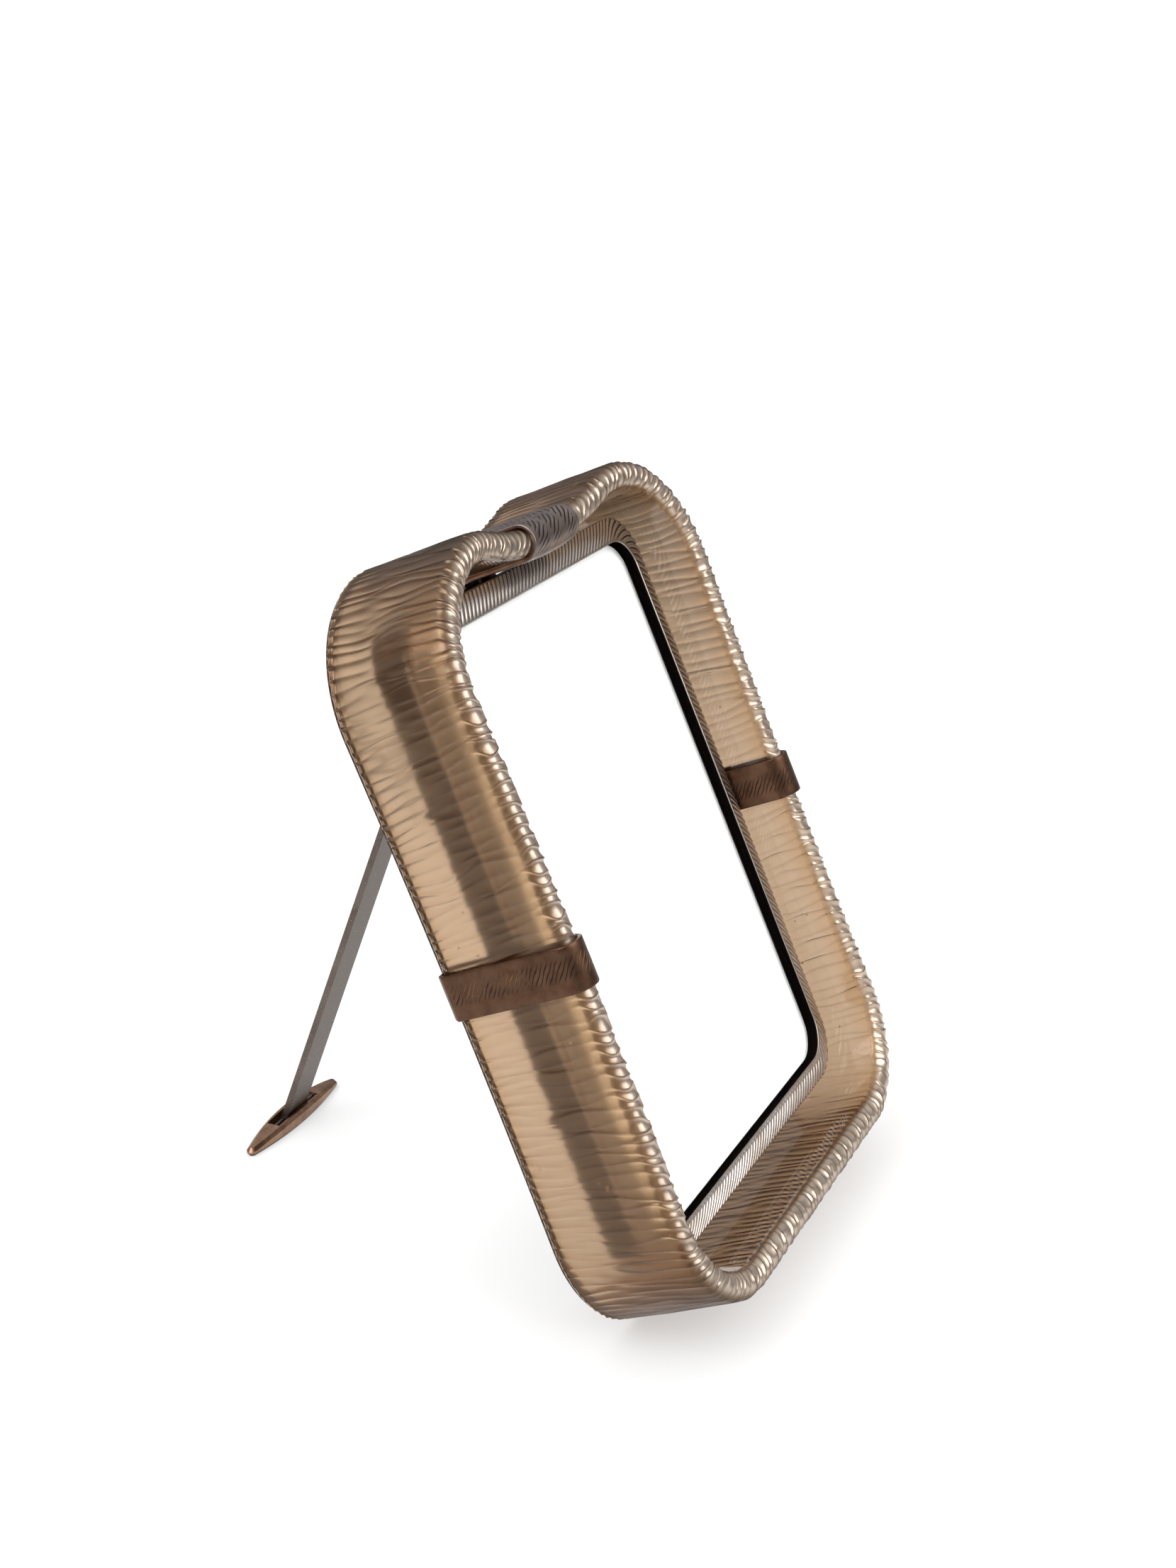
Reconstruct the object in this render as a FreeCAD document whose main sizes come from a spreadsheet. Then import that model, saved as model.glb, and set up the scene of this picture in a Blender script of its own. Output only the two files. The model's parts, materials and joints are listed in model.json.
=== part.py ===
import FreeCAD, Part
import Sketcher
import math
import os

# Curved glass photo frame for a 13 by 18 cm photograph.
# A heavy glass ring leans back on a hinged strut. Three bronze straps grip the
# glass and hold a metal case with the pane, the photograph and its backing.
# Lengths are in millimetres and angles in degrees. Most pieces are drawn in the
# plane of the ring, with its rear face at height zero, and are then tipped up.

DIMENSIONS = (
    # the glass ring and its lean
    ("lean", 23.5),
    ("ring_depth", 41),
    ("glass_wall", 8.6),
    ("bottom_corner_radius", 33),
    ("top_waist", 6.2),
    ("side_waist", 1.3),
    ("front_dip", 4.8),
    ("front_dip_margin", 7.4),
    ("rim_flat", 0.2),
    ("rear_bevel", 1.3),
    # the room left between the case and the glass round it
    ("side_room", 3.1),
    ("end_room", 2.4),
    ("corner_room", 1.7),
    # the photograph and what lies in front of it and behind it
    ("photo_width", 130),
    ("photo_height", 180),
    ("photo_thickness", 0.4),
    ("pane_thickness", 2),
    ("board_thickness", 3),
    ("panel_thickness", 4.1),
    ("stack_gap", 0.1),
    # the case that holds them
    ("case_rear", 11),
    ("case_depth", 10),
    ("case_side_wall", 4.5),
    ("case_end_wall", 3.3),
    ("case_corner_radius", 12),
    ("rebate_gap", 0.5),
    ("panel_gap", 0.3),
    # the twisted moulding round the opening
    ("moulding_overhang", 1),
    ("moulding_side_lap", 1.5),
    ("moulding_end_lap", 2.7),
    ("moulding_crest", 4.2),
    ("moulding_edge", 1.1),
    ("moulding_corner_radius", 14.5),
    ("moulding_lip", 0.6),
    ("opening_corner_radius", 10),
    # the straps round the glass
    ("strap_thickness", 1.1),
    ("strap_gap", 0.15),
    ("side_strap_width", 13),
    ("side_strap_drop", 1.6),
    ("top_strap_width", 27.5),
    ("tab_width", 9),
    ("tab_lap", 3.6),
    # the screws
    ("screw_radius", 1),
    ("screw_head_radius", 1.9),
    ("screw_head_bevel", 0.5),
    ("screw_head_height", 0.9),
    ("screw_bite", 4),
    ("screw_gap", 0.06),
    # the turn buttons behind the panel
    ("button_length", 16),
    ("button_width", 4.5),
    ("button_thickness", 1.4),
    ("button_place", 45),
    # the hinge under the top strap
    ("hinge_drop", 3.75),
    ("hinge_setback", 3),
    ("bracket_width", 20),
    ("bracket_plate", 1),
    ("bracket_reach", 8.5),
    ("bracket_gap", 0.05),
    ("ear_thickness", 2),
    ("ear_radius", 2.5),
    ("ear_gap", 0.3),
    ("pin_radius", 1),
    ("pin_gap", 0.05),
    ("pin_head_radius", 1.7),
    ("pin_head_height", 0.8),
    # the strut
    ("strut_tilt", 20.5),
    ("strut_width", 12),
    ("strut_thickness", 2.1),
    ("knuckle_radius", 2.1),
    ("heel_length", 4.2),
    ("heel_rise", 0.8),
    ("heel_gap", 0.05),
    ("toe_radius", 1.3),
    # the foot
    ("foot_length", 53),
    ("foot_width", 8.4),
    ("foot_height", 3.8),
    ("foot_tip_height", 1.6),
    ("foot_tip_radius", 1.7),
    ("foot_crown_bevel", 1),
    ("sole_thickness", 0.8),
    ("sole_inset", 0.6),
    ("foot_axis_height", 3),
    ("foot_pin_radius", 0.6),
    ("foot_pin_bite", 3),
    ("slot_length", 24),
    ("slot_width", 4.6),
    ("slot_floor", 0.7),
    # cuts run past the solid by this much
    ("overrun", 5),
)

doc = FreeCAD.newDocument("CurvedGlassPhotoFrame")
sheet = doc.addObject("Spreadsheet::Sheet", "Dims")
for row, (alias, value) in enumerate(DIMENSIONS, 1):
    sheet.set(f"A{row}", alias)
    sheet.set(f"B{row}", str(value))
    sheet.setAlias(f"B{row}", alias)
doc.recompute()

# Places that several pieces share are worked out once from the sizes above.
derived = doc.addObject("App::VarSet", "Derived")


def derive(name, expression, kind="App::PropertyFloat"):
    """Keep a value that follows from the sizes under a name of its own."""
    derived.addProperty(kind, name)
    derived.setExpression(name, expression)
    doc.recompute()


# The case goes round the photograph and the glass ring goes round the case, with
# room left at the sides, at the top and at the upper corners.
derive("case_width", "Dims.photo_width + 2 * Dims.rebate_gap + 2 * Dims.case_side_wall")
derive("case_height", "Dims.photo_height + 2 * Dims.rebate_gap + 2 * Dims.case_end_wall")
derive("ring_width", "Derived.case_width + 2 * (Dims.side_room + Dims.glass_wall + Dims.side_waist)")
derive("ring_height", "Derived.case_height + 2 * (Dims.end_room + Dims.glass_wall + Dims.top_waist)")
derive("corner_across", "(Derived.ring_width - Derived.case_width) / 2 + Dims.case_corner_radius")
derive("corner_up", "(Derived.ring_height - Derived.case_height) / 2 + Dims.case_corner_radius")
derive("corner_inset", "Dims.glass_wall + Dims.case_corner_radius + Dims.corner_room")
derive("corner_sum", "Derived.corner_across + Derived.corner_up - Derived.corner_inset")
derive("top_corner_radius", "Derived.corner_sum + sqrt(Derived.corner_sum^2 + Derived.corner_inset^2"
       " - Derived.corner_across^2 - Derived.corner_up^2)")
derive("front_dip_span", "Derived.ring_width / 2 - Dims.glass_wall - Dims.front_dip_margin")
# The ring stands on the rear edge of its bottom bar.
derive("ring_rise", "Derived.ring_height / 2 * cos(Dims.lean) - Dims.rear_bevel * sin(Dims.lean)")
# The hinge axis, in the plane of the ring.
derive("hinge_up", "Derived.ring_height / 2 - Dims.top_waist - Dims.glass_wall"
       " - Dims.strap_gap - Dims.strap_thickness - Dims.hinge_drop")
# The strut's length follows from its tilt and from how high its two ends stand.
derive("hinge_rise", "Derived.ring_rise + Derived.hinge_up * cos(Dims.lean)"
       " + Dims.hinge_setback * sin(Dims.lean)")
derive("strut_length", "(Derived.hinge_rise - Dims.foot_axis_height) / cos(Dims.strut_tilt)")
# The ring is moved forwards or back so that the whole frame is centred over the origin.
derive("foot_back", "Derived.hinge_up * sin(Dims.lean) - Dims.hinge_setback * cos(Dims.lean)"
       " + Derived.strut_length * sin(Dims.strut_tilt)")
derive("rim_front", "(Derived.ring_height - Dims.glass_wall) / 2 * sin(Dims.lean)"
       " + (Dims.ring_depth - Dims.glass_wall / 2) * cos(Dims.lean) + Dims.glass_wall / 2")
derive("ring_shift", "(Derived.rim_front - Derived.foot_back - Dims.foot_width / 2) / 2")
derive("ring_place", "placement(vector(0; Derived.ring_shift; Derived.ring_rise);"
       " rotation(vector(1; 0; 0); 90 - Dims.lean))", "App::PropertyPlacement")
derive("strut_place", "placement(vector(0; Derived.ring_shift + Derived.hinge_up * sin(Dims.lean)"
       " - Dims.hinge_setback * cos(Dims.lean); Derived.hinge_rise);"
       " rotation(vector(1; 0; 0); 90 + Dims.strut_tilt))", "App::PropertyPlacement")
derive("foot_place", "placement(vector(0; Derived.ring_shift + Derived.foot_back; 0);"
       " rotation(vector(1; 0; 0); 0))", "App::PropertyPlacement")


def now(expression):
    """The value that an expression has at the present sizes."""
    return float(doc.getObject("Derived").evalExpression(expression))


parts = []


def finish(piece, label, place="Derived.ring_place"):
    """Name a finished piece and put it in its place."""
    piece.Label = label
    piece.setExpression("Placement", place)
    parts.append(piece)
    return piece


def body(name):
    return doc.addObject("PartDesign::Body", name + "_body")


def sketch_on(owner, name, role="XY_Plane", height=None):
    """A new sketch on one of the body's own planes, raised by height."""
    sketch = owner.newObject("Sketcher::SketchObject", name)
    plane = [item for item in owner.Origin.OriginFeatures if item.Role == role][0]
    sketch.AttachmentSupport = [(plane, "")]
    sketch.MapMode = "FlatFace"
    if height is not None:
        sketch.setExpression("AttachmentOffset.Base.z", height)
    return sketch


def bind(sketch, constraint, expression):
    """Add a constraint whose value follows an expression."""
    index = sketch.addConstraint(constraint)
    name = f"size_{index}"
    sketch.renameConstraint(index, name)
    sketch.setExpression("Constraints." + name, expression)


def fix_point(sketch, geometry, point, across, up):
    bind(sketch, Sketcher.Constraint("DistanceX", -1, 1, geometry, point, now(across)), across)
    bind(sketch, Sketcher.Constraint("DistanceY", -1, 1, geometry, point, now(up)), up)


def draw_polygon(sketch, points):
    """A closed outline of straight lines through points given as pairs of expressions."""
    first = sketch.GeometryCount
    count = len(points)
    places = [FreeCAD.Vector(now(across), now(up), 0) for across, up in points]
    for index in range(count):
        line = Part.LineSegment(places[index], places[(index + 1) % count])
        sketch.addGeometry(line, False)
    for index in range(count):
        after = first + (index + 1) % count
        sketch.addConstraint(Sketcher.Constraint("Coincident", first + index, 2, after, 1))
    for index, (across, up) in enumerate(points):
        fix_point(sketch, first + index, 1, across, up)


def draw_rectangle(sketch, width, height):
    half_width, half_height = f"({width}) / 2", f"({height}) / 2"
    draw_polygon(sketch, ((f"-{half_width}", f"-{half_height}"), (half_width, f"-{half_height}"),
                          (half_width, half_height), (f"-{half_width}", half_height)))


def draw_circle(sketch, across, up, radius):
    centre = FreeCAD.Vector(now(across), now(up), 0)
    index = sketch.addGeometry(Part.Circle(centre, FreeCAD.Vector(0, 0, 1), now(radius)), False)
    fix_point(sketch, index, 3, across, up)
    bind(sketch, Sketcher.Constraint("Radius", index, now(radius)), radius)


def add(owner, kind, name, sketch, length, midplane=False, backwards=False):
    """Pad or pocket a sketch by a bound length."""
    feature = owner.newObject("PartDesign::" + kind, name)
    feature.Profile = sketch
    feature.setExpression("Length", length)
    feature.Midplane = midplane
    feature.Reversed = backwards
    sketch.Visibility = False
    doc.recompute()
    return feature


def round_edges(owner, name, feature, edges, radius):
    fillet = owner.newObject("PartDesign::Fillet", name)
    fillet.Base = (feature, edges)
    fillet.setExpression("Radius", radius)
    doc.recompute()
    return fillet


def bevel_edges(owner, name, feature, edges, size):
    chamfer = owner.newObject("PartDesign::Chamfer", name)
    chamfer.Base = (feature, edges)
    chamfer.setExpression("Size", size)
    doc.recompute()
    return chamfer


def edges_where(shape, test):
    return [f"Edge{number}" for number, edge in enumerate(shape.Edges, 1) if test(edge)]


# Glass ring.
# The outline has a round at each corner, sides drawn in a little, a top that sags
# to a waist, and a straight bottom. The front rim is fully rounded and dips at the top,
# and the rear rim is bevelled on both sides.

TOP_X = "(Derived.ring_width / 2 - Derived.top_corner_radius)"
TOP_Y = "(Derived.ring_height / 2 - Derived.top_corner_radius)"
LOW_X = "(Derived.ring_width / 2 - Dims.bottom_corner_radius)"
LOW_Y = "(Derived.ring_height / 2 - Dims.bottom_corner_radius)"
derive("top_arc_radius", f"({TOP_X}^2 + Dims.top_waist^2) / (2 * Dims.top_waist) - Derived.top_corner_radius")
derive("straight_height", "Derived.ring_height - Derived.top_corner_radius - Dims.bottom_corner_radius")
derive("side_arc_up", "Derived.straight_height / 2 + Dims.side_waist"
       " * (Derived.top_corner_radius - Dims.bottom_corner_radius) / Derived.straight_height")
derive("side_arc_radius", "(Derived.side_arc_up^2 + Dims.side_waist^2) / (2 * Dims.side_waist)"
       " - Derived.top_corner_radius")


def draw_ring_outline(sketch, inset):
    """The ring's outline, moved inwards by inset: a round at each corner, wide arcs bent
    the other way on top and at both sides, and a straight bottom."""
    inwards = now(inset)
    top_x, top_y, low_x, low_y = (now(place) for place in (TOP_X, TOP_Y, LOW_X, LOW_Y))
    top_radius = now("Derived.top_corner_radius") - inwards
    low_radius = now("Dims.bottom_corner_radius") - inwards
    over_radius = now("Derived.top_arc_radius") + inwards
    side_radius = now("Derived.side_arc_radius") + inwards
    over_y = now("Derived.ring_height / 2 - Dims.top_waist + Derived.top_arc_radius")
    side_x = now("Derived.ring_width / 2 - Dims.side_waist + Derived.side_arc_radius")
    side_y = now(TOP_Y + " - Derived.side_arc_up")
    to_top = math.atan2(top_y - side_y, side_x - top_x)
    to_low = math.atan2(low_y + side_y, side_x - low_x)
    to_corner = math.atan2(top_x, over_y - top_y)
    half, quarter = math.pi, math.pi / 2
    up = FreeCAD.Vector(0, 0, 1)

    def arc(across, rise, radius, start, end):
        circle = Part.Circle(FreeCAD.Vector(across, rise, 0), up, radius)
        return sketch.addGeometry(Part.ArcOfCircle(circle, start, end), False)

    top_right = arc(top_x, top_y, top_radius, -to_top, quarter + to_corner)
    over = arc(0, over_y, over_radius, -quarter - to_corner, -quarter + to_corner)
    top_left = arc(-top_x, top_y, top_radius, quarter - to_corner, half + to_top)
    left = arc(-side_x, side_y, side_radius, -to_low, to_top)
    low_left = arc(-low_x, -low_y, low_radius, half - to_low, half + quarter)
    low = FreeCAD.Vector(low_x, -low_y - low_radius, 0)
    bottom = sketch.addGeometry(Part.LineSegment(FreeCAD.Vector(-low.x, low.y, 0), low), False)
    low_right = arc(low_x, -low_y, low_radius, -quarter, to_low)
    right = arc(side_x, side_y, side_radius, half - to_top, half + to_low)
    for joint in ((top_right, 2, over, 2), (over, 1, top_left, 1), (top_left, 2, left, 2),
                  (left, 1, low_left, 1), (low_left, 2, bottom, 1), (bottom, 2, low_right, 1),
                  (low_right, 2, right, 2), (right, 1, top_right, 1)):
        sketch.addConstraint(Sketcher.Constraint("Tangent", *joint))
    for corner, across, rise in ((top_right, TOP_X, TOP_Y), (top_left, "-" + TOP_X, TOP_Y),
                                 (low_left, "-" + LOW_X, "-" + LOW_Y), (low_right, LOW_X, "-" + LOW_Y)):
        fix_point(sketch, corner, 3, across, rise)
    for shapes, radius in (((top_right, top_left), f"Derived.top_corner_radius - {inset}"),
                           ((low_left, low_right), f"Dims.bottom_corner_radius - {inset}"),
                           ((over,), f"Derived.top_arc_radius + {inset}"),
                           ((left, right), f"Derived.side_arc_radius + {inset}")):
        for shape in shapes:
            bind(sketch, Sketcher.Constraint("Radius", shape, now(radius)), radius)


def draw_belt(sketch, rounds):
    """A closed outline of rounds joined by straight lines that touch both of them.
    rounds go anticlockwise, each as expressions for its centre and its radius."""
    centres = [FreeCAD.Vector(now(across), now(up), 0) for across, up, _ in rounds]
    radii = [now(radius) for _, _, radius in rounds]
    count = len(rounds)
    leaving = []
    for index in range(count):
        after = (index + 1) % count
        step = centres[after] - centres[index]
        lean = math.asin((radii[index] - radii[after]) / step.Length)
        leaving.append(math.atan2(step.y, step.x) - math.pi / 2 + lean)
    first = sketch.GeometryCount
    axis = FreeCAD.Vector(0, 0, 1)
    for index in range(count):
        after = (index + 1) % count
        start, end = leaving[index - 1], leaving[index]
        while end < start:
            end += 2 * math.pi
        circle = Part.Circle(centres[index], axis, radii[index])
        sketch.addGeometry(Part.ArcOfCircle(circle, start, end), False)
        out = FreeCAD.Vector(math.cos(leaving[index]), math.sin(leaving[index]), 0)
        line = Part.LineSegment(centres[index] + out * radii[index], centres[after] + out * radii[after])
        sketch.addGeometry(line, False)
    for index in range(count):
        arc, line, next_arc = (first + (2 * index + step) % (2 * count) for step in range(3))
        sketch.addConstraint(Sketcher.Constraint("Tangent", arc, 2, line, 1))
        sketch.addConstraint(Sketcher.Constraint("Tangent", line, 2, next_arc, 1))
    for index, (across, up, radius) in enumerate(rounds):
        arc = first + 2 * index
        fix_point(sketch, arc, 3, across, up)
        bind(sketch, Sketcher.Constraint("Radius", arc, now(radius)), radius)


def draw_rounded_rectangle(sketch, width, height, radius):
    x, y = f"(({width}) / 2 - {radius})", f"(({height}) / 2 - {radius})"
    draw_belt(sketch, ((x, y, radius), (f"-{x}", y, radius),
                       (f"-{x}", f"-{y}", radius), (x, f"-{y}", radius)))


def turn(owner, name, profile):
    """Revolve an outline of (along, radius) pairs about the body's X axis."""
    sketch = sketch_on(owner, name + "_profile")
    draw_polygon(sketch, profile)
    feature = owner.newObject("PartDesign::Revolution", name)
    feature.Profile = sketch
    feature.ReferenceAxis = (sketch, ["H_Axis"])
    feature.Angle = 360
    sketch.Visibility = False
    doc.recompute()
    return feature


def pocket_circle(owner, name, across, up, radius, length, role="XY_Plane", height=None, midplane=False,
                  backwards=False):
    sketch = sketch_on(owner, name + "_circle", role, height)
    draw_circle(sketch, across, up, radius)
    return add(owner, "Pocket", name, sketch, length, midplane, backwards)


glass = body("glass_ring")
outline = sketch_on(glass, "ring_outline")
draw_ring_outline(outline, "0")
add(glass, "Pad", "ring_block", outline, "Dims.ring_depth")
hollow = sketch_on(glass, "ring_hollow")
draw_ring_outline(hollow, "Dims.glass_wall")
add(glass, "Pocket", "ring_opening", hollow, "Dims.ring_depth + Dims.overrun", backwards=True)

# The dip of the front rim is three arcs of one radius, hollow in the middle and
# rounded over at both ends, cut through the top bar from above.
derive("dip_radius", "(Derived.front_dip_span^2 + Dims.front_dip^2) / (4 * Dims.front_dip)")


def draw_dip(sketch):
    span, radius = now("Derived.front_dip_span"), now("Derived.dip_radius")
    front, low = now("Dims.ring_depth"), now("Dims.ring_depth - Dims.front_dip")
    above = now("Dims.ring_depth + Dims.overrun")
    corners = [FreeCAD.Vector(across, up, 0) for across, up in (
        (span, front), (span, above), (-span, above), (-span, front))]
    for start, end in zip(corners, corners[1:]):
        sketch.addGeometry(Part.LineSegment(start, end), False)
    axis = FreeCAD.Vector(0, 0, 1)
    swing = math.asin(span / 2 / radius)
    quarter = math.pi / 2
    for across, up, start, end in ((-span, front - radius, quarter - swing, quarter),
                                   (0, low + radius, -quarter - swing, -quarter + swing),
                                   (span, front - radius, quarter, quarter + swing)):
        circle = Part.Circle(FreeCAD.Vector(across, up, 0), axis, radius)
        sketch.addGeometry(Part.ArcOfCircle(circle, start, end), False)
    for first, first_end, second, second_end in ((0, 2, 1, 1), (1, 2, 2, 1), (2, 2, 3, 2), (5, 1, 0, 1)):
        sketch.addConstraint(Sketcher.Constraint("Coincident", first, first_end, second, second_end))
    sketch.addConstraint(Sketcher.Constraint("Tangent", 3, 1, 4, 1))
    sketch.addConstraint(Sketcher.Constraint("Tangent", 4, 2, 5, 2))
    for geometry, side, up in ((0, "", "Dims.ring_depth"), (1, "", "Dims.ring_depth + Dims.overrun"),
                               (2, "-", "Dims.ring_depth + Dims.overrun")):
        fix_point(sketch, geometry, 1, side + "Derived.front_dip_span", up)
    fix_point(sketch, 2, 2, "-Derived.front_dip_span", "Dims.ring_depth")
    for geometry, across in ((3, "-Derived.front_dip_span"), (5, "Derived.front_dip_span")):
        bind(sketch, Sketcher.Constraint("DistanceX", -1, 1, geometry, 3, now(across)), across)
    for geometry in (3, 4, 5):
        bind(sketch, Sketcher.Constraint("Radius", geometry, radius), "Derived.dip_radius")


dip = sketch_on(glass, "rim_dip", "XZ_Plane", "-(Derived.ring_height / 2 + Dims.overrun)")
draw_dip(dip)
dipped = add(glass, "Pocket", "rim_dip_cut", dip, "Derived.top_corner_radius + Dims.overrun", backwards=True)


def along_bottom(height):
    """The straight edges of the bottom bar at a height: the rounds run on from them."""
    low = -now("Derived.ring_height / 2 - Dims.glass_wall")

    def test(edge):
        box = edge.BoundBox
        level = box.ZLength < 1e-6 and box.YLength < 1e-6 and abs(box.ZMin - height) < 1e-6
        return level and box.YMax < low + 1e-6
    return test


front_edges = edges_where(dipped.Shape, along_bottom(now("Dims.ring_depth")))
rounded = round_edges(glass, "front_rim_round", dipped, front_edges, "(Dims.glass_wall - Dims.rim_flat) / 2")
rear_edges = edges_where(rounded.Shape, along_bottom(0))
bevel_edges(glass, "rear_rim_bevel", rounded, rear_edges, "Dims.rear_bevel")
finish(glass, "glass_ring")


# Straps.
# Each is a closed band of bronze round the glass, with a tab bent in behind the
# case and held to it by a screw.

def draw_arch(sketch, outer, inner, grow, lift="0", flip=""):
    """The section of the glass wall grown on all sides: a round over the front rim, two
    straight legs, and a bevelled rear. outer and inner are the distances of the wall's
    two faces from the middle of the frame, which flip puts on the other side."""
    middle, radius = f"(({outer}) + ({inner})) / 2", f"(({outer}) - ({inner})) / 2 + {grow}"
    front = f"Dims.ring_depth + {lift} - (({outer}) - ({inner})) / 2"
    level = f"Dims.rear_bevel - ({grow}) * (sqrt(2) - 1)"
    corners = [(f"{middle} + {radius}", front), (f"{middle} + {radius}", level),
               (f"({outer}) - ({level})", f"-({grow})"), (f"({inner}) + {level}", f"-({grow})"),
               (f"{middle} - ({radius})", level), (f"{middle} - ({radius})", front)]
    corners = [(f"{flip}({across})", up) for across, up in corners]
    points = [FreeCAD.Vector(now(across), now(up), 0) for across, up in corners]
    for start, end in zip(points, points[1:]):
        sketch.addGeometry(Part.LineSegment(start, end), False)
    last_leg = len(points) - 2
    centre = FreeCAD.Vector(now(f"{flip}({middle})"), now(front), 0)
    circle = Part.Circle(centre, FreeCAD.Vector(0, 0, 1), now(radius))
    arch = sketch.addGeometry(Part.ArcOfCircle(circle, 0, math.pi), False)
    for index in range(last_leg):
        sketch.addConstraint(Sketcher.Constraint("Coincident", index, 2, index + 1, 1))
    first, last = (2, 1) if flip else (1, 2)
    sketch.addConstraint(Sketcher.Constraint("Tangent", 0, 1, arch, first))
    sketch.addConstraint(Sketcher.Constraint("Coincident", last_leg, 2, arch, last))
    for index, (across, up) in enumerate(corners[:-1]):
        fix_point(sketch, index, 1, across, up)
    fix_point(sketch, last_leg, 2, *corners[-1])


SIDE_OUT = "Derived.ring_width / 2 - Dims.side_waist"
SIDE_IN = SIDE_OUT + " - Dims.glass_wall"
TOP_OUT = "Derived.ring_height / 2 - Dims.top_waist"
TOP_IN = TOP_OUT + " - Dims.glass_wall"
BAND = "(Dims.strap_gap + Dims.strap_thickness)"
CASE_FRONT = "(Dims.case_rear + Dims.case_depth)"
TAB_FRONT = "Dims.case_rear"
TAB_REAR = "(Dims.case_rear - Dims.strap_thickness)"
SCREW_HOLE = "Dims.screw_radius + Dims.screw_gap"
SIDE_SCREW = "(Derived.case_width / 2 - Dims.tab_lap / 2)"
TOP_SCREW = "(Derived.case_height / 2 - Dims.tab_lap / 2)"


def add_tab(owner, across, up, wide, high):
    """A tab behind the case: a rectangle about a centre, as thick as the strap."""
    sketch = sketch_on(owner, "tab_outline", height=TAB_REAR)
    draw_polygon(sketch, tuple((f"{across} {side} ({wide}) / 2", f"{up} {level} ({high}) / 2")
                               for side, level in (("-", "-"), ("+", "-"), ("+", "+"), ("-", "+"))))
    add(owner, "Pad", "tab", sketch, "Dims.strap_thickness")


def side_strap(name, flip):
    """A side strap: the band's section lies across the side bar."""
    strap = body(name)
    band = sketch_on(strap, "band_outline", "XZ_Plane", "Dims.side_strap_drop")
    draw_arch(band, SIDE_OUT, SIDE_IN, BAND, flip=flip)
    add(strap, "Pad", "band", band, "Dims.side_strap_width", midplane=True)
    bore = sketch_on(strap, "band_bore", "XZ_Plane", "Dims.side_strap_drop")
    draw_arch(bore, SIDE_OUT, SIDE_IN, "Dims.strap_gap", flip=flip)
    add(strap, "Pocket", "bore", bore, "Dims.side_strap_width + Dims.overrun", midplane=True)
    outer = f"({SIDE_IN} - {BAND} / 2)"
    inner = "(Derived.case_width / 2 - Dims.tab_lap)"
    add_tab(strap, f"{flip}({outer} + {inner}) / 2", "-Dims.side_strap_drop", f"{outer} - {inner}",
            "Dims.tab_width")
    pocket_circle(strap, "screw_hole", flip + SIDE_SCREW, "-Dims.side_strap_drop", SCREW_HOLE,
                  "2 * Dims.overrun", height=TAB_FRONT, midplane=True)
    return finish(strap, name)


side_strap("strap_left", "-")
side_strap("strap_right", "")

# The top strap follows the waist of the top bar, so its band is turned about the
# axis of that arc. It stands a little higher over the rim, which rises to both sides.
derive("top_arc_centre", "Derived.ring_height / 2 - Dims.top_waist + Derived.top_arc_radius")
derive("top_strap_angle", "Dims.top_strap_width / Derived.top_arc_radius * 180 / pi")
derive("top_bore_angle", "(Dims.top_strap_width + Dims.overrun) / Derived.top_arc_radius * 180 / pi")
derive("top_strap_lift", "Derived.dip_radius - sqrt(Derived.dip_radius^2 - Dims.top_strap_width^2 / 4)"
       " - Dims.front_dip")


def top_band(owner, kind, name, grow, angle):
    sketch = sketch_on(owner, name + "_outline", "YZ_Plane")
    draw_arch(sketch, TOP_OUT, TOP_IN, grow, "Derived.top_strap_lift")
    axis_at = now("Derived.top_arc_centre")
    axis = Part.LineSegment(FreeCAD.Vector(axis_at, 0, 0), FreeCAD.Vector(axis_at, now("Dims.ring_depth"), 0))
    line = sketch.addGeometry(axis, True)
    fix_point(sketch, line, 1, "Derived.top_arc_centre", "0")
    fix_point(sketch, line, 2, "Derived.top_arc_centre", "Dims.ring_depth")
    feature = owner.newObject("PartDesign::" + kind, name)
    feature.Profile = sketch
    feature.ReferenceAxis = (sketch, ["Axis0"])
    feature.setExpression("Angle", angle)
    feature.Midplane = True
    sketch.Visibility = False
    doc.recompute()
    return feature


strap_top = body("strap_top")
top_band(strap_top, "Revolution", "band", BAND, "Derived.top_strap_angle")
top_band(strap_top, "Groove", "bore", "Dims.strap_gap", "Derived.top_bore_angle")
TAB_TOP = f"({TOP_IN} - {BAND} / 2)"
TAB_LOW = "(Derived.case_height / 2 - Dims.tab_lap)"
add_tab(strap_top, "0", f"({TAB_TOP} + {TAB_LOW}) / 2", "Dims.tab_width", f"{TAB_TOP} - {TAB_LOW}")
pocket_circle(strap_top, "screw_hole", "0", TOP_SCREW, SCREW_HOLE, "2 * Dims.overrun",
              height=TAB_FRONT, midplane=True)
finish(strap_top, "strap_top")


# Case and moulding.
# The case is a deep rim of metal with the twisted moulding fixed on its front.

BUTTON_X = "(Derived.case_width / 2 - Dims.case_side_wall / 2)"
BUTTONS = (("turn_button_upper_left", "-", "", 0), ("turn_button_upper_right", "", "", 180),
           ("turn_button_lower_left", "-", "-", 0), ("turn_button_lower_right", "", "-", 180))

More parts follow.
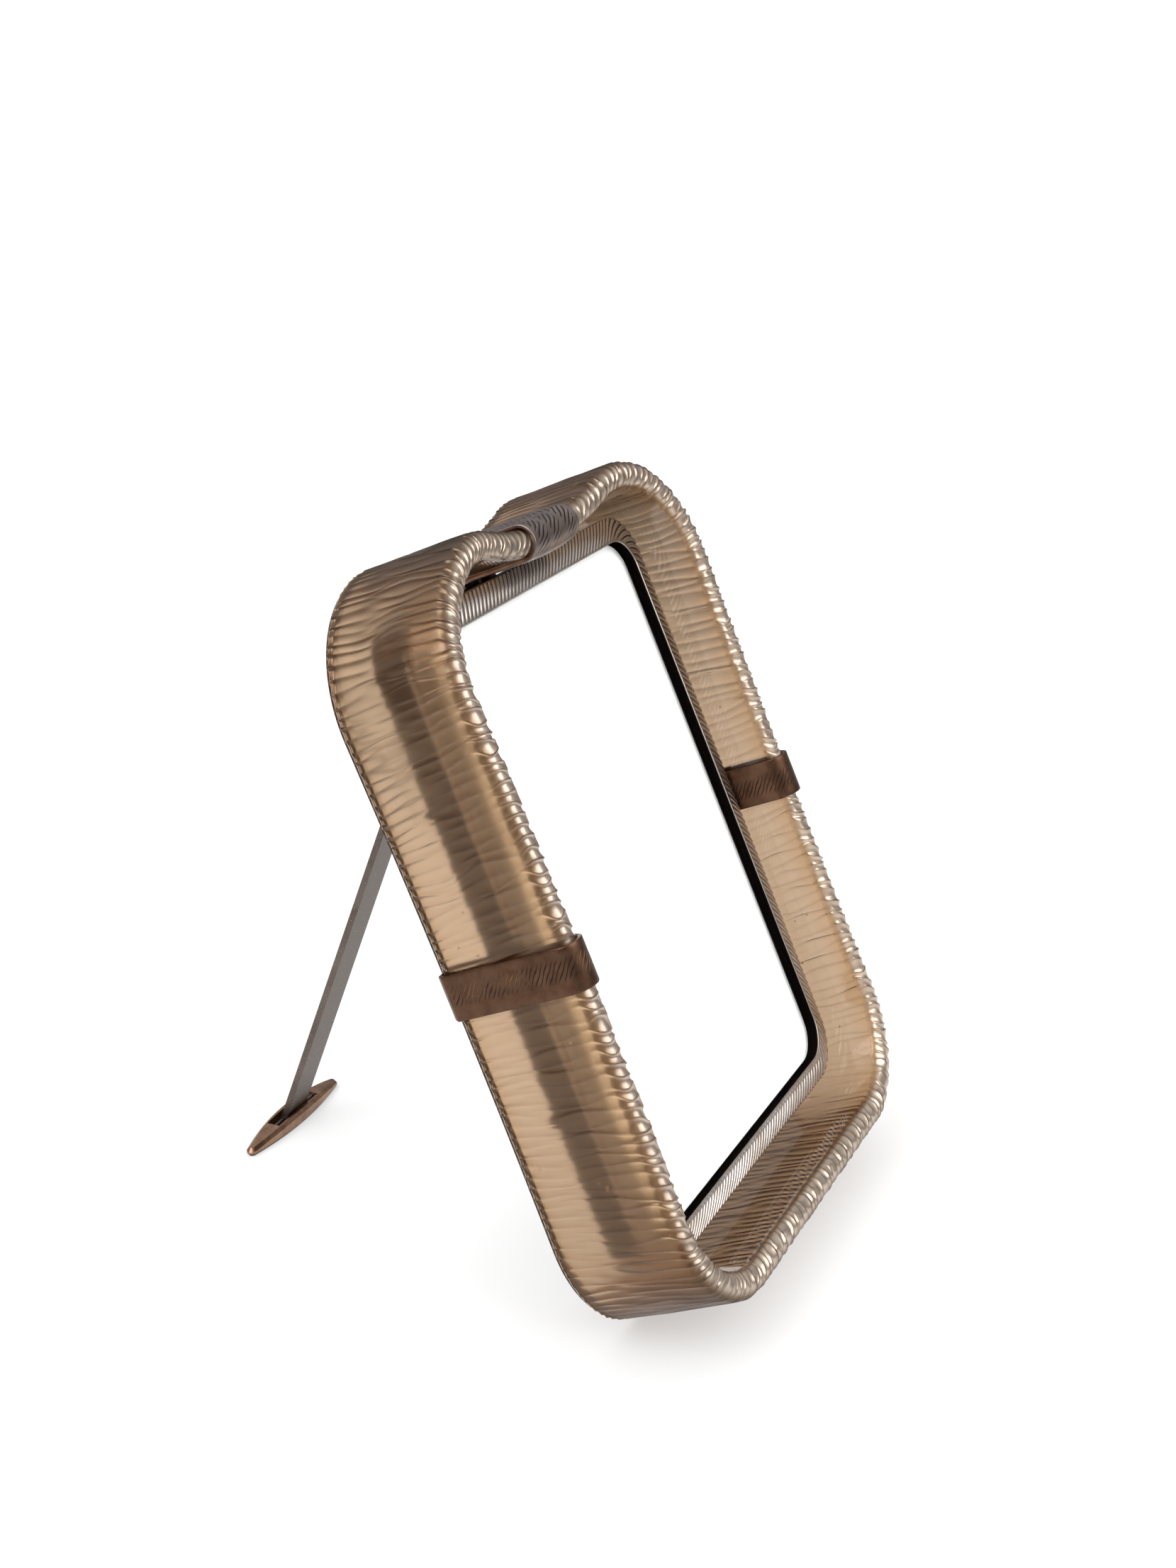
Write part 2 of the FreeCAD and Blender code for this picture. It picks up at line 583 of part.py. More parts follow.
case = body("case_frame")
rim = sketch_on(case, "case_outline", height="Dims.case_rear")
draw_rounded_rectangle(rim, "Derived.case_width", "Derived.case_height", "Dims.case_corner_radius")
add(case, "Pad", "case_block", rim, "Dims.case_depth")
rebate = sketch_on(case, "case_rebate", height=CASE_FRONT)
draw_rectangle(rebate, "Dims.photo_width + 2 * Dims.rebate_gap", "Dims.photo_height + 2 * Dims.rebate_gap")
add(case, "Pocket", "rebate", rebate, "2 * Dims.case_depth + Dims.overrun", midplane=True)
holes = sketch_on(case, "screw_holes_outline", height="Dims.case_rear")
STRAP_SCREWS = (("-" + SIDE_SCREW, "-Dims.side_strap_drop"), (SIDE_SCREW, "-Dims.side_strap_drop"),
                ("0", TOP_SCREW))
BUTTON_SCREWS = tuple((side + BUTTON_X, level + "Dims.button_place") for _, side, level, _ in BUTTONS)
for across, up in STRAP_SCREWS + BUTTON_SCREWS:
    draw_circle(holes, across, up, SCREW_HOLE)
add(case, "Pocket", "screw_holes", holes, "Dims.screw_bite + Dims.screw_gap", backwards=True)
finish(case, "case_frame")

OPENING_WIDTH = "(Dims.photo_width - 2 * Dims.moulding_side_lap)"
OPENING_HEIGHT = "(Dims.photo_height - 2 * Dims.moulding_end_lap)"
moulding = body("bezel_moulding")
band = sketch_on(moulding, "moulding_outline", height=CASE_FRONT)
draw_rounded_rectangle(band, "Derived.case_width + 2 * Dims.moulding_overhang",
                       "Derived.case_height + 2 * Dims.moulding_overhang", "Dims.moulding_corner_radius")
slab = add(moulding, "Pad", "moulding_block", band, "Dims.moulding_crest")
crest = now(CASE_FRONT + " + Dims.moulding_crest")
edges = edges_where(slab.Shape, lambda edge: abs(edge.BoundBox.ZMin - crest) < 1e-6)
slope = moulding.newObject("PartDesign::Chamfer", "moulding_slope")
slope.Base = (slab, edges)
slope.ChamferType = "Two distances"
slope.setExpression("Size", "Dims.moulding_crest - Dims.moulding_edge")
slope.setExpression("Size2", f"(Derived.case_width - {OPENING_WIDTH}) / 2 + Dims.moulding_overhang"
                    " - Dims.moulding_lip")
doc.recompute()
opening = sketch_on(moulding, "opening_outline", height=CASE_FRONT)
draw_rounded_rectangle(opening, OPENING_WIDTH, OPENING_HEIGHT, "Dims.opening_corner_radius")
add(moulding, "Pocket", "opening", opening, "2 * (Dims.moulding_crest + Dims.overrun)", midplane=True)
finish(moulding, "bezel_moulding")


# The stack in the case, from the front: pane, photograph, backing board, back panel.

def sheet_piece(name, width, height, front, thickness):
    piece = body(name)
    outline = sketch_on(piece, name + "_outline", height=f"{front} - {thickness}")
    draw_rectangle(outline, width, height)
    add(piece, "Pad", name + "_sheet", outline, thickness)
    finish(piece, name)
    return f"({front} - {thickness} - Dims.stack_gap)"


behind = f"({CASE_FRONT} - Dims.stack_gap)"
for name, thickness in (("glazing_pane", "Dims.pane_thickness"), ("photo_card", "Dims.photo_thickness"),
                        ("backing_board", "Dims.board_thickness")):
    behind = sheet_piece(name, "Dims.photo_width", "Dims.photo_height", behind, thickness)
sheet_piece("back_panel", "Dims.photo_width + 2 * (Dims.rebate_gap - Dims.panel_gap)",
            "Dims.photo_height + 2 * (Dims.rebate_gap - Dims.panel_gap)", behind, "Dims.panel_thickness")


# Screws and turn buttons.

def screw(name, grip):
    """A screw along X: the head lies before zero, and the shank runs through what it
    grips and bites into the case."""
    piece = body(name)
    turn(piece, name + "_form", (
        ("-Dims.screw_head_height", "0"),
        ("-Dims.screw_head_height", "Dims.screw_head_radius - Dims.screw_head_bevel"),
        ("0", "Dims.screw_head_radius"), ("0", "Dims.screw_radius"),
        (f"{grip} + Dims.screw_bite", "Dims.screw_radius"), (f"{grip} + Dims.screw_bite", "0")))
    return piece


def screw_group(label, grip, places):
    """One node of like screws, standing in the case's rear from behind."""
    group = doc.addObject("Part::Compound", label)
    pieces = []
    for number, (across, up) in enumerate(places, 1):
        piece = screw(f"{label}_{number}", grip)
        piece.setExpression("Placement", f"placement(vector({across}; {up}; Dims.case_rear - {grip});"
                            " rotation(vector(0; 1; 0); -90))")
        pieces.append(piece)
    group.Links = pieces
    return finish(group, label)


screw_group("strap_screws", "(Dims.strap_thickness + Dims.screw_gap)", STRAP_SCREWS)
screw_group("turn_button_screws", "(Dims.button_thickness + 2 * Dims.stack_gap)", BUTTON_SCREWS)

for name, side, level, facing in BUTTONS:
    button = body(name)
    shape = sketch_on(button, name + "_outline")
    end = "Dims.button_width / 2"
    draw_belt(shape, ((f"Dims.button_length - 2 * {end}", "0", end), ("0", "0", end)))
    add(button, "Pad", name + "_blade", shape, "Dims.button_thickness")
    pocket_circle(button, name + "_hole", "0", "0", SCREW_HOLE, "2 * Dims.button_thickness + Dims.overrun",
                  midplane=True)
    finish(button, name, f"Derived.ring_place * placement(vector({side}{BUTTON_X}; {level}Dims.button_place;"
           f" Dims.case_rear - Dims.stack_gap - Dims.button_thickness); rotation(vector(0; 0; 1); {facing}))")


# Hinge.
# A small bracket under the top strap carries the pin on which the strut turns.

EAR_SPAN = "(Dims.strut_width + 2 * Dims.ear_gap + 2 * Dims.ear_thickness)"
PLATE_TOP = "(Derived.hinge_up + Dims.hinge_drop - Dims.bracket_gap)"
PLATE_LOW = f"({PLATE_TOP} - Dims.bracket_plate)"
bracket = body("hinge_bracket")
plate = sketch_on(bracket, "plate_outline", "YZ_Plane")
PLATE_REAR = "Dims.hinge_setback - Dims.ear_radius"
draw_polygon(plate, ((PLATE_LOW, PLATE_REAR), (PLATE_TOP, PLATE_REAR),
                     (PLATE_TOP, "Dims.bracket_reach"), (PLATE_LOW, "Dims.bracket_reach")))
add(bracket, "Pad", "plate", plate, "Dims.bracket_width", midplane=True)
ears = sketch_on(bracket, "ears_outline", "YZ_Plane")
PLATE_MIDDLE = f"({PLATE_LOW} + Dims.bracket_plate / 2)"
draw_polygon(ears, tuple((up, f"Dims.hinge_setback {side} Dims.ear_radius")
                         for up, side in (("Derived.hinge_up", "-"), (PLATE_MIDDLE, "-"),
                                          (PLATE_MIDDLE, "+"), ("Derived.hinge_up", "+"))))
add(bracket, "Pad", "ears", ears, EAR_SPAN, midplane=True)
ear_ends = sketch_on(bracket, "ear_ends_outline", "YZ_Plane")
draw_circle(ear_ends, "Derived.hinge_up", "Dims.hinge_setback", "Dims.ear_radius")
add(bracket, "Pad", "ear_ends", ear_ends, EAR_SPAN, midplane=True)
fork = sketch_on(bracket, "fork_outline", "YZ_Plane")
draw_polygon(fork, tuple((up, f"Dims.hinge_setback {side} (Dims.ear_radius + Dims.overrun)")
                         for up, side in (("Derived.hinge_up - Dims.overrun", "-"), (PLATE_LOW, "-"),
                                          (PLATE_LOW, "+"), ("Derived.hinge_up - Dims.overrun", "+"))))
add(bracket, "Pocket", "fork", fork, "Dims.strut_width + 2 * Dims.ear_gap", midplane=True)
pocket_circle(bracket, "pin_hole", "Derived.hinge_up", "Dims.hinge_setback", "Dims.pin_radius + Dims.pin_gap",
              EAR_SPAN + " + Dims.overrun", "YZ_Plane", midplane=True)
finish(bracket, "hinge_bracket")


def pin(name, half, radius, head_radius=None, head_height=None):
    """A round pin along X, plain or with a head at each end."""
    piece = body(name)
    profile = [(f"-{half}", "0"), (f"-{half}", radius), (half, radius), (half, "0")]
    if head_radius:
        profile = [(f"-{half} - {head_height}", "0"), (f"-{half} - {head_height}", head_radius),
                   (f"-{half}", head_radius), (f"-{half}", radius), (half, radius), (half, head_radius),
                   (f"{half} + {head_height}", head_radius), (f"{half} + {head_height}", "0")]
    turn(piece, name + "_form", tuple(profile))
    return piece


hinge_pin = pin("hinge_pin", f"({EAR_SPAN} / 2 + Dims.pin_gap)", "Dims.pin_radius", "Dims.pin_head_radius",
                "Dims.pin_head_height")
finish(hinge_pin, "hinge_pin", "Derived.strut_place")


# Strut.
# It is drawn with the hinge axis at zero and the foot's axis a strut length below it.
# A heel behind the knuckle comes to rest against the bracket when the strut is open.

strut = body("strut_bar")
bar = sketch_on(strut, "bar_outline", "YZ_Plane")
half_bar = "Dims.strut_thickness / 2"
draw_polygon(bar, (("-Derived.strut_length", f"-{half_bar}"), ("0", f"-{half_bar}"), ("0", half_bar),
                   ("-Derived.strut_length", half_bar)))
add(strut, "Pad", "bar", bar, "Dims.strut_width", midplane=True)
for name, place, radius in (("knuckle", "0", "Dims.knuckle_radius"),
                            ("toe", "-Derived.strut_length", "Dims.toe_radius")):
    round_end = sketch_on(strut, name + "_outline", "YZ_Plane")
    draw_circle(round_end, place, "0", radius)
    add(strut, "Pad", name, round_end, "Dims.strut_width", midplane=True)
SPREAD = "(Dims.lean + Dims.strut_tilt)"
HEEL = (f"((Dims.hinge_drop - Dims.bracket_gap - Dims.bracket_plate - Dims.heel_gap"
        f" - Dims.heel_rise * cos({SPREAD})) / sin({SPREAD}))")
heel = sketch_on(strut, "heel_outline", "YZ_Plane")
draw_polygon(heel, (("Dims.heel_rise", "0"), ("-Dims.heel_length", "0"),
                    ("-Dims.heel_length / 2", f"-{HEEL}"), ("Dims.heel_rise", f"-{HEEL}")))
add(strut, "Pad", "heel", heel, "Dims.strut_width", midplane=True)
for name, place, hole in (("knuckle", "0", "Dims.pin_radius + Dims.pin_gap"),
                          ("toe", "-Derived.strut_length", "Dims.foot_pin_radius + Dims.pin_gap")):
    pocket_circle(strut, name + "_hole", place, "0", hole, "Dims.strut_width + Dims.overrun", "YZ_Plane",
                  midplane=True)
finish(strut, "strut_bar", "Derived.strut_place")


# Foot.
# A boat-shaped bar on a thin sole. The strut stands in a slot in its crown and
# turns on a pin, so that the sole lies flat.

TIP_REACH = "(Dims.foot_length / 2 - Dims.foot_tip_radius)"
derive("boat_side_radius", f"({TIP_REACH}^2 + Dims.foot_width^2 / 4 - Dims.foot_tip_radius^2)"
       " / (Dims.foot_width - 2 * Dims.foot_tip_radius)")


def draw_boat(sketch, inset):
    """Two wide side arcs that run into a small round at each tip, moved inwards by inset."""
    tip, side = f"Dims.foot_tip_radius - {inset}", f"Derived.boat_side_radius - {inset}"
    reach, offset = now(TIP_REACH), now("Derived.boat_side_radius - Dims.foot_width / 2")
    swing = math.atan2(offset, reach)
    axis = FreeCAD.Vector(0, 0, 1)
    half = math.pi
    for index, (across, up, size, start, end) in enumerate((
            (reach, 0, tip, -swing, swing), (0, -offset, side, swing, half - swing),
            (-reach, 0, tip, half - swing, half + swing), (0, offset, side, half + swing, 2 * half - swing))):
        circle = Part.Circle(FreeCAD.Vector(across, up, 0), axis, now(size))
        sketch.addGeometry(Part.ArcOfCircle(circle, start, end), False)
        bind(sketch, Sketcher.Constraint("Radius", index, now(size)), size)
    for index in range(4):
        sketch.addConstraint(Sketcher.Constraint("Tangent", index, 2, (index + 1) % 4, 1))
    fix_point(sketch, 0, 3, TIP_REACH, "0")
    fix_point(sketch, 2, 3, "-" + TIP_REACH, "0")


sole = body("foot_sole")
pad = sketch_on(sole, "sole_outline")
draw_boat(pad, "Dims.sole_inset")
add(sole, "Pad", "sole", pad, "Dims.sole_thickness")
finish(sole, "foot_sole", "Derived.foot_place")

foot = body("foot")
plan = sketch_on(foot, "foot_outline", height="Dims.sole_thickness")
draw_boat(plan, "0")
add(foot, "Pad", "foot_block", plan, "Dims.foot_height")
FOOT_TOP = "(Dims.sole_thickness + Dims.foot_height)"
FALL = "(Dims.foot_height - Dims.foot_tip_height)"
derive("crown_radius", f"(Dims.foot_length^2 / 4 + {FALL}^2) / (2 * {FALL})")


def draw_crown(sketch):
    """What is cut away above the foot: everything over an arc that falls to both tips."""
    reach, radius = now("Dims.foot_length / 2"), now("Derived.crown_radius")
    top, low = now(FOOT_TOP), now(f"{FOOT_TOP} - {FALL}")
    above = now(FOOT_TOP + " + Dims.overrun")
    corners = [FreeCAD.Vector(across, up, 0) for across, up in (
        (reach, low), (reach, above), (-reach, above), (-reach, low))]
    for start, end in zip(corners, corners[1:]):
        sketch.addGeometry(Part.LineSegment(start, end), False)
    centre = FreeCAD.Vector(0, top - radius, 0)
    swing = math.asin(reach / radius)
    circle = Part.Circle(centre, FreeCAD.Vector(0, 0, 1), radius)
    sketch.addGeometry(Part.ArcOfCircle(circle, math.pi / 2 - swing, math.pi / 2 + swing), False)
    for first, first_end, second, second_end in ((0, 2, 1, 1), (1, 2, 2, 1), (2, 2, 3, 2), (3, 1, 0, 1)):
        sketch.addConstraint(Sketcher.Constraint("Coincident", first, first_end, second, second_end))
    for geometry, side, up in ((0, "", f"{FOOT_TOP} - {FALL}"), (1, "", FOOT_TOP + " + Dims.overrun"),
                               (2, "-", FOOT_TOP + " + Dims.overrun")):
        fix_point(sketch, geometry, 1, side + "Dims.foot_length / 2", up)
    fix_point(sketch, 2, 2, "-Dims.foot_length / 2", f"{FOOT_TOP} - {FALL}")
    bind(sketch, Sketcher.Constraint("Radius", 3, radius), "Derived.crown_radius")


crown = sketch_on(foot, "crown_outline", "XZ_Plane")
draw_crown(crown)
crowned = add(foot, "Pocket", "crown", crown, "Dims.foot_width + Dims.overrun", midplane=True)
low_tip = now(f"{FOOT_TOP} - {FALL}")
rim_edges = edges_where(crowned.Shape, lambda edge: edge.BoundBox.ZMin > low_tip - 1e-6
                        and edge.BoundBox.XLength > now("Dims.foot_width"))
bevel_edges(foot, "crown_bevel", crowned, rim_edges, "Dims.foot_crown_bevel")
slot = sketch_on(foot, "slot_outline", height=FOOT_TOP + " + Dims.overrun")
draw_rectangle(slot, "Dims.slot_length", "Dims.slot_width")
add(foot, "Pocket", "slot", slot, "Dims.foot_height - Dims.slot_floor + Dims.overrun")
FOOT_PIN_HALF = "(Dims.slot_length / 2 + Dims.foot_pin_bite)"
pocket_circle(foot, "foot_pin_hole", "0", "Dims.foot_axis_height", "Dims.foot_pin_radius + Dims.screw_gap",
              f"2 * ({FOOT_PIN_HALF} + Dims.screw_gap)", "YZ_Plane", midplane=True)
finish(foot, "foot", "Derived.foot_place")

foot_pin = pin("foot_pin", FOOT_PIN_HALF, "Dims.foot_pin_radius")
finish(foot_pin, "foot_pin", "Derived.foot_place * placement(vector(0; 0; Dims.foot_axis_height);"
       " rotation(vector(1; 0; 0); 0))")

doc.recompute()
# Each shape is tested before it is written out.
for item in doc.Objects:
    if "Invalid" in item.State or "Error" in item.State:
        raise RuntimeError(f"{item.Label} did not recompute: {item.State}")
for part in parts:
    if part.Shape.isNull() or not part.Shape.isValid():
        raise RuntimeError(f"{part.Label} has no sound shape")

os.makedirs("parts", exist_ok=True)
for part in parts:
    part.Shape.exportStep(f"parts/{part.Label}.step")
    print(part.Label, len(part.Shape.Solids), "solids", round(part.Shape.Volume, 1), "mm3")
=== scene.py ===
import json
import math

import bmesh
import bpy
import numpy as np
from mathutils import Matrix, Vector


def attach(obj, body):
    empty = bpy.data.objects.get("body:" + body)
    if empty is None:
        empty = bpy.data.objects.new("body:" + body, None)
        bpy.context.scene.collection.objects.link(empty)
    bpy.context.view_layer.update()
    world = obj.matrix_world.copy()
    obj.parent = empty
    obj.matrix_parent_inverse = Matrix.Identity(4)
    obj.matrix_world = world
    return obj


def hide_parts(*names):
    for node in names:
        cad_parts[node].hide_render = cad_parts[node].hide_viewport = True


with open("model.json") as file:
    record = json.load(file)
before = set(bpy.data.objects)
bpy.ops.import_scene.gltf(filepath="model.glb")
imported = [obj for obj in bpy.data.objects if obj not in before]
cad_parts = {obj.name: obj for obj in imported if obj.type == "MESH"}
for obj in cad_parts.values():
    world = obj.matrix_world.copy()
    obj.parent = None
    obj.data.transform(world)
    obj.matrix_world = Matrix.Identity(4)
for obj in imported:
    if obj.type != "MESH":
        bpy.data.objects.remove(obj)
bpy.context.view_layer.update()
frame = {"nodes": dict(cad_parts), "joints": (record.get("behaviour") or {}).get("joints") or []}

# The ring's own directions and centre, read off the joints of the turn buttons, which
# lie BUTTON_DEPTH in front of its rear face. Places below are in mm in the plane of
# the ring: across it, up it, and towards the front from its rear face.

MM = 0.001
BUTTON_DEPTH = 10
pivot = {joint["child"]: np.array(joint["pos_m"]) for joint in frame["joints"]
         if joint["child"].startswith("turn_button")}
ACROSS = np.array([1.0, 0.0, 0.0])
UP = pivot["turn_button_upper_left"] - pivot["turn_button_lower_left"]
UP = UP / np.linalg.norm(UP)
FRONT = np.cross(ACROSS, UP)
CENTRE = sum(pivot.values()) / len(pivot) - FRONT * BUTTON_DEPTH * MM


def in_ring(points):
    """World places in metres of points given in mm in the ring's plane."""
    points = np.asarray(points, float) * MM
    return CENTRE + points[..., :1] * ACROSS + points[..., 1:2] * UP + points[..., 2:] * FRONT


# Camera: a long lens on the left that looks down a little. Its place and its
# principal point come from fitting the ring's outlines in the photograph.

PHOTO_WIDTH, PHOTO_HEIGHT = 1659, 2212
FOCAL_PIXELS = 3274
AXIS_PIXEL = (793.8, 954.5)
SENSOR_HEIGHT = 36
CAMERA_PLACE = (-575.1, 140.5, 351.5)
CAMERA_TURN, CAMERA_TILT, CAMERA_ROLL = -64.82, -17.9, -0.29
CAMERA_REACH = 100

camera = bpy.data.objects.new("camera", bpy.data.cameras.new("camera"))
bpy.context.scene.collection.objects.link(camera)
camera.data.sensor_fit = "VERTICAL"
camera.data.sensor_height = SENSOR_HEIGHT
camera.data.lens = FOCAL_PIXELS / PHOTO_HEIGHT * SENSOR_HEIGHT
camera.data.shift_x = (PHOTO_WIDTH / 2 - AXIS_PIXEL[0]) / PHOTO_HEIGHT
camera.data.shift_y = (AXIS_PIXEL[1] - PHOTO_HEIGHT / 2) / PHOTO_HEIGHT
camera.data.clip_end = CAMERA_REACH
camera.matrix_world = (Matrix.Translation(Vector(in_ring(CAMERA_PLACE)))
                       @ Matrix.Rotation(math.radians(CAMERA_TURN), 4, "Z")
                       @ Matrix.Rotation(math.radians(90 + CAMERA_TILT), 4, "X")
                       @ Matrix.Rotation(math.radians(CAMERA_ROLL), 4, "Z"))
bpy.context.scene.camera = camera
bpy.context.scene.view_settings.view_transform = "Standard"


# Glass ring: one thick ring of smoky amber glass, cast and then ground on a wheel.
# Its flutes run from back to front over the outer wall and the round front rim,
# and the inner wall is left polished. Three straps grip it.

RING_WIDTH, RING_HEIGHT, RING_DEPTH, GLASS_WALL = 166, 222, 41, 8.6
TOP_CORNER, BOTTOM_CORNER = 38, 33
TOP_WAIST, SIDE_WAIST = 6.2, 1.3
FRONT_DIP, FRONT_DIP_SPAN = 4.8, 67
REAR_BEVEL = 1.3
TOP_RADIUS = ((RING_WIDTH / 2 - TOP_CORNER) ** 2 + TOP_WAIST ** 2) / (2 * TOP_WAIST) - TOP_CORNER
DIP_RADIUS = (FRONT_DIP_SPAN ** 2 + FRONT_DIP ** 2) / (4 * FRONT_DIP)


def ring_arcs():
    """The ring's outline as arcs that touch, anticlockwise from the foot of the right
    side: centre, radius, start angle, swept angle, and 1 or -1 for the glass's side.
    The straight bottom has no centre and its length for a radius. A waist's radius
    follows from half its span and its depth."""
    half_width, half_height = RING_WIDTH / 2, RING_HEIGHT / 2
    top = np.array([half_width - TOP_CORNER, half_height - TOP_CORNER])
    low = np.array([half_width - BOTTOM_CORNER, BOTTOM_CORNER - half_height])
    straight = RING_HEIGHT - TOP_CORNER - BOTTOM_CORNER
    rise = straight / 2 + SIDE_WAIST * (TOP_CORNER - BOTTOM_CORNER) / straight
    side_radius = (rise ** 2 + SIDE_WAIST ** 2) / (2 * SIDE_WAIST) - TOP_CORNER
    above = np.array([0, half_height - TOP_WAIST + TOP_RADIUS])
    beside = np.array([half_width - SIDE_WAIST + side_radius, top[1] - rise])
    flip = np.array([-1, 1])
    below = np.array([0, -half_height])

    def arc(centre, radius, start, end, side):
        start, end = (math.atan2(*(place - centre)[::-1]) for place in (start, end))
        sweep = (end - start) * side % (2 * math.pi) * side
        return centre, radius, start, sweep, side

    return (arc(beside, side_radius, low, top, -1),
            arc(top, TOP_CORNER, beside, above, 1),
            arc(above, TOP_RADIUS, top, top * flip, -1),
            arc(top * flip, TOP_CORNER, above, beside * flip, 1),
            arc(beside * flip, side_radius, top * flip, low * flip, -1),
            arc(low * flip, BOTTOM_CORNER, beside * flip, low * flip + below, 1),
            (None, 2 * low[0], 0, 1, 1),
            arc(low, BOTTOM_CORNER, low + below, beside, 1))


def ring_outline(share):
    """Points and outward normals at shares of the outline's length: each share finds its
    arc, and the cosine and sine of its angle there give the point and the normal."""
    share = np.asarray(share, float) % 1
    arcs = ring_arcs()
    lengths = [radius * abs(sweep) for _, radius, _, sweep, _ in arcs]
    stops = np.concatenate([[0], np.cumsum(lengths)])
    along = share * stops[-1]
    points, normals = np.zeros(share.shape + (2,)), np.zeros(share.shape + (2,))
    for index, (centre, radius, start, sweep, side) in enumerate(arcs):
        here = (along >= stops[index]) & (along <= stops[index + 1])
        part = (along[here] - stops[index]) / (stops[index + 1] - stops[index])
        if centre is None:
            points[here] = np.stack([(part - 0.5) * radius, np.full(part.shape, -RING_HEIGHT / 2)], -1)
            normals[here] = (0, -1)
        else:
            angle = start + part * sweep
            out = np.stack([np.cos(angle), np.sin(angle)], -1)
            points[here] = centre + radius * out
            normals[here] = out * side
    return points, normals


def rim_dip(across, up):
    """How far the front rim lies back on the top bar: arcs of one radius, hollow in the
    middle and rounded over where they end."""
    half_span = FRONT_DIP_SPAN / 2
    away = np.clip(np.abs(across), 0, FRONT_DIP_SPAN)
    near_middle = np.minimum(away, half_span)
    near_end = FRONT_DIP_SPAN - np.maximum(away, half_span)
    hollow = FRONT_DIP - DIP_RADIUS + np.sqrt(DIP_RADIUS ** 2 - near_middle ** 2)
    over = DIP_RADIUS - np.sqrt(DIP_RADIUS ** 2 - near_end ** 2)
    on_top = up > RING_HEIGHT / 2 - TOP_CORNER
    return np.where(on_top, np.where(away < half_span, hollow, over), 0)


def smooth(value):
    """A share eased at both ends: three times its square less twice its cube."""
    value = np.clip(value, 0, 1)
    return value * value * (3 - 2 * value)


OUTER_ROWS, RIM_ROWS, INNER_ROWS = 18, 14, 6
EDGE_EASE, PLAIN = 0.08, 3


def wall_section():
    """Rows of the wall's section from the rear up the outer wall, over the rim, down the
    inner wall and across the bevelled rear: distance inwards, share of the depth, length
    added to it, outward direction, and how far along the flutes the row lies: 0 at the
    rear, 1 where the rim's round starts, 2 where it ends, PLAIN on the plain faces."""
    up = np.linspace(0, 1, OUTER_ROWS, endpoint=False)
    turn = np.linspace(0, math.pi, RIM_ROWS, endpoint=False)
    down = np.linspace(1, 0, INNER_ROWS)
    half, inside, none = GLASS_WALL / 2, GLASS_WALL - REAR_BEVEL, np.zeros
    slant = math.sqrt(0.5)
    # Two points beside each edge of the bevels: inwards, added length, direction, place.
    rear = np.array([(GLASS_WALL - EDGE_EASE, -EDGE_EASE, -slant, -slant, PLAIN),
                     (inside + EDGE_EASE, EDGE_EASE - REAR_BEVEL, -slant, -slant, PLAIN),
                     (inside - EDGE_EASE, -REAR_BEVEL, 0, -1, PLAIN),
                     (half, -REAR_BEVEL, 0, -1, PLAIN),
                     (REAR_BEVEL + EDGE_EASE, -REAR_BEVEL, 0, -1, PLAIN),
                     (REAR_BEVEL - EDGE_EASE, EDGE_EASE - REAR_BEVEL, slant, -slant, 0),
                     (EDGE_EASE, -EDGE_EASE, slant, -slant, 0)]).T
    inner_wall = np.ones(INNER_ROWS)
    return (
        np.concatenate([none(OUTER_ROWS), half - half * np.cos(turn), GLASS_WALL * inner_wall, rear[0]]),
        np.concatenate([up, np.ones(RIM_ROWS), down, none(rear.shape[1])]),
        np.concatenate([none(OUTER_ROWS), half * np.sin(turn), none(INNER_ROWS), rear[1]]),
        np.concatenate([np.ones(OUTER_ROWS), np.cos(turn), -inner_wall, rear[2]]),
        np.concatenate([none(OUTER_ROWS), np.sin(turn), none(INNER_ROWS), rear[3]]),
        np.concatenate([up, 1 + turn / math.pi, PLAIN * inner_wall, rear[4]]))


# The flutes' cuts. FRONT_CUTS and REAR_CUTS give places along a flute and its depths in
# mm there. The two sets meet between MEET_LOW and MEET_HIGH, as shares of the wall.

CUTS, STEPS = 236, 9
WALL_CUT, RIM_CUT, REAR_CUT = 0.38, 0.72, 0.46
FRONT_CUTS = ((0, 0.85, 1.2, 2, PLAIN), (WALL_CUT, WALL_CUT, RIM_CUT, RIM_CUT, 0))
REAR_CUTS = ((0, 0.25, 1, 1.2), (REAR_CUT, WALL_CUT, WALL_CUT, 0))
CUT_SKEW = 0.64
MEET_LOW, MEET_HIGH, MEET_SPREAD = 0.25, 0.65, 0.34
INSIDE_LOW, INSIDE_HIGH, INSIDE_FADE = 1.72, 1.98, 0.15
RIDGE_KNOTS, RIDGE_LOSS, RIDGE_POWER, REAR_RIDGE, RIDGES_END = 5, 0.25, 6, 0.6, 1.95
FRONT_SEED, REAR_SEED, MEET_SEED_STEP, INSIDE_SEED = 11, 12, 10, 41


def ridge_noise(seed, knots, phase, height):
    """Random numbers at each ridge and at a few heights, joined smoothly in between."""
    table = np.random.default_rng(seed).uniform(-1, 1, (knots + 1, CUTS))
    low = np.clip(np.floor(height * knots).astype(int), 0, knots - 1)
    part = smooth(height * knots - low)[:, None]
    rows = table[low] * (1 - part) + table[low + 1] * part
    left, share = np.floor(phase).astype(int) % CUTS, (phase % 1)[None, :]
    return rows[:, left] * (1 - share) + rows[:, (left + 1) % CUTS] * share


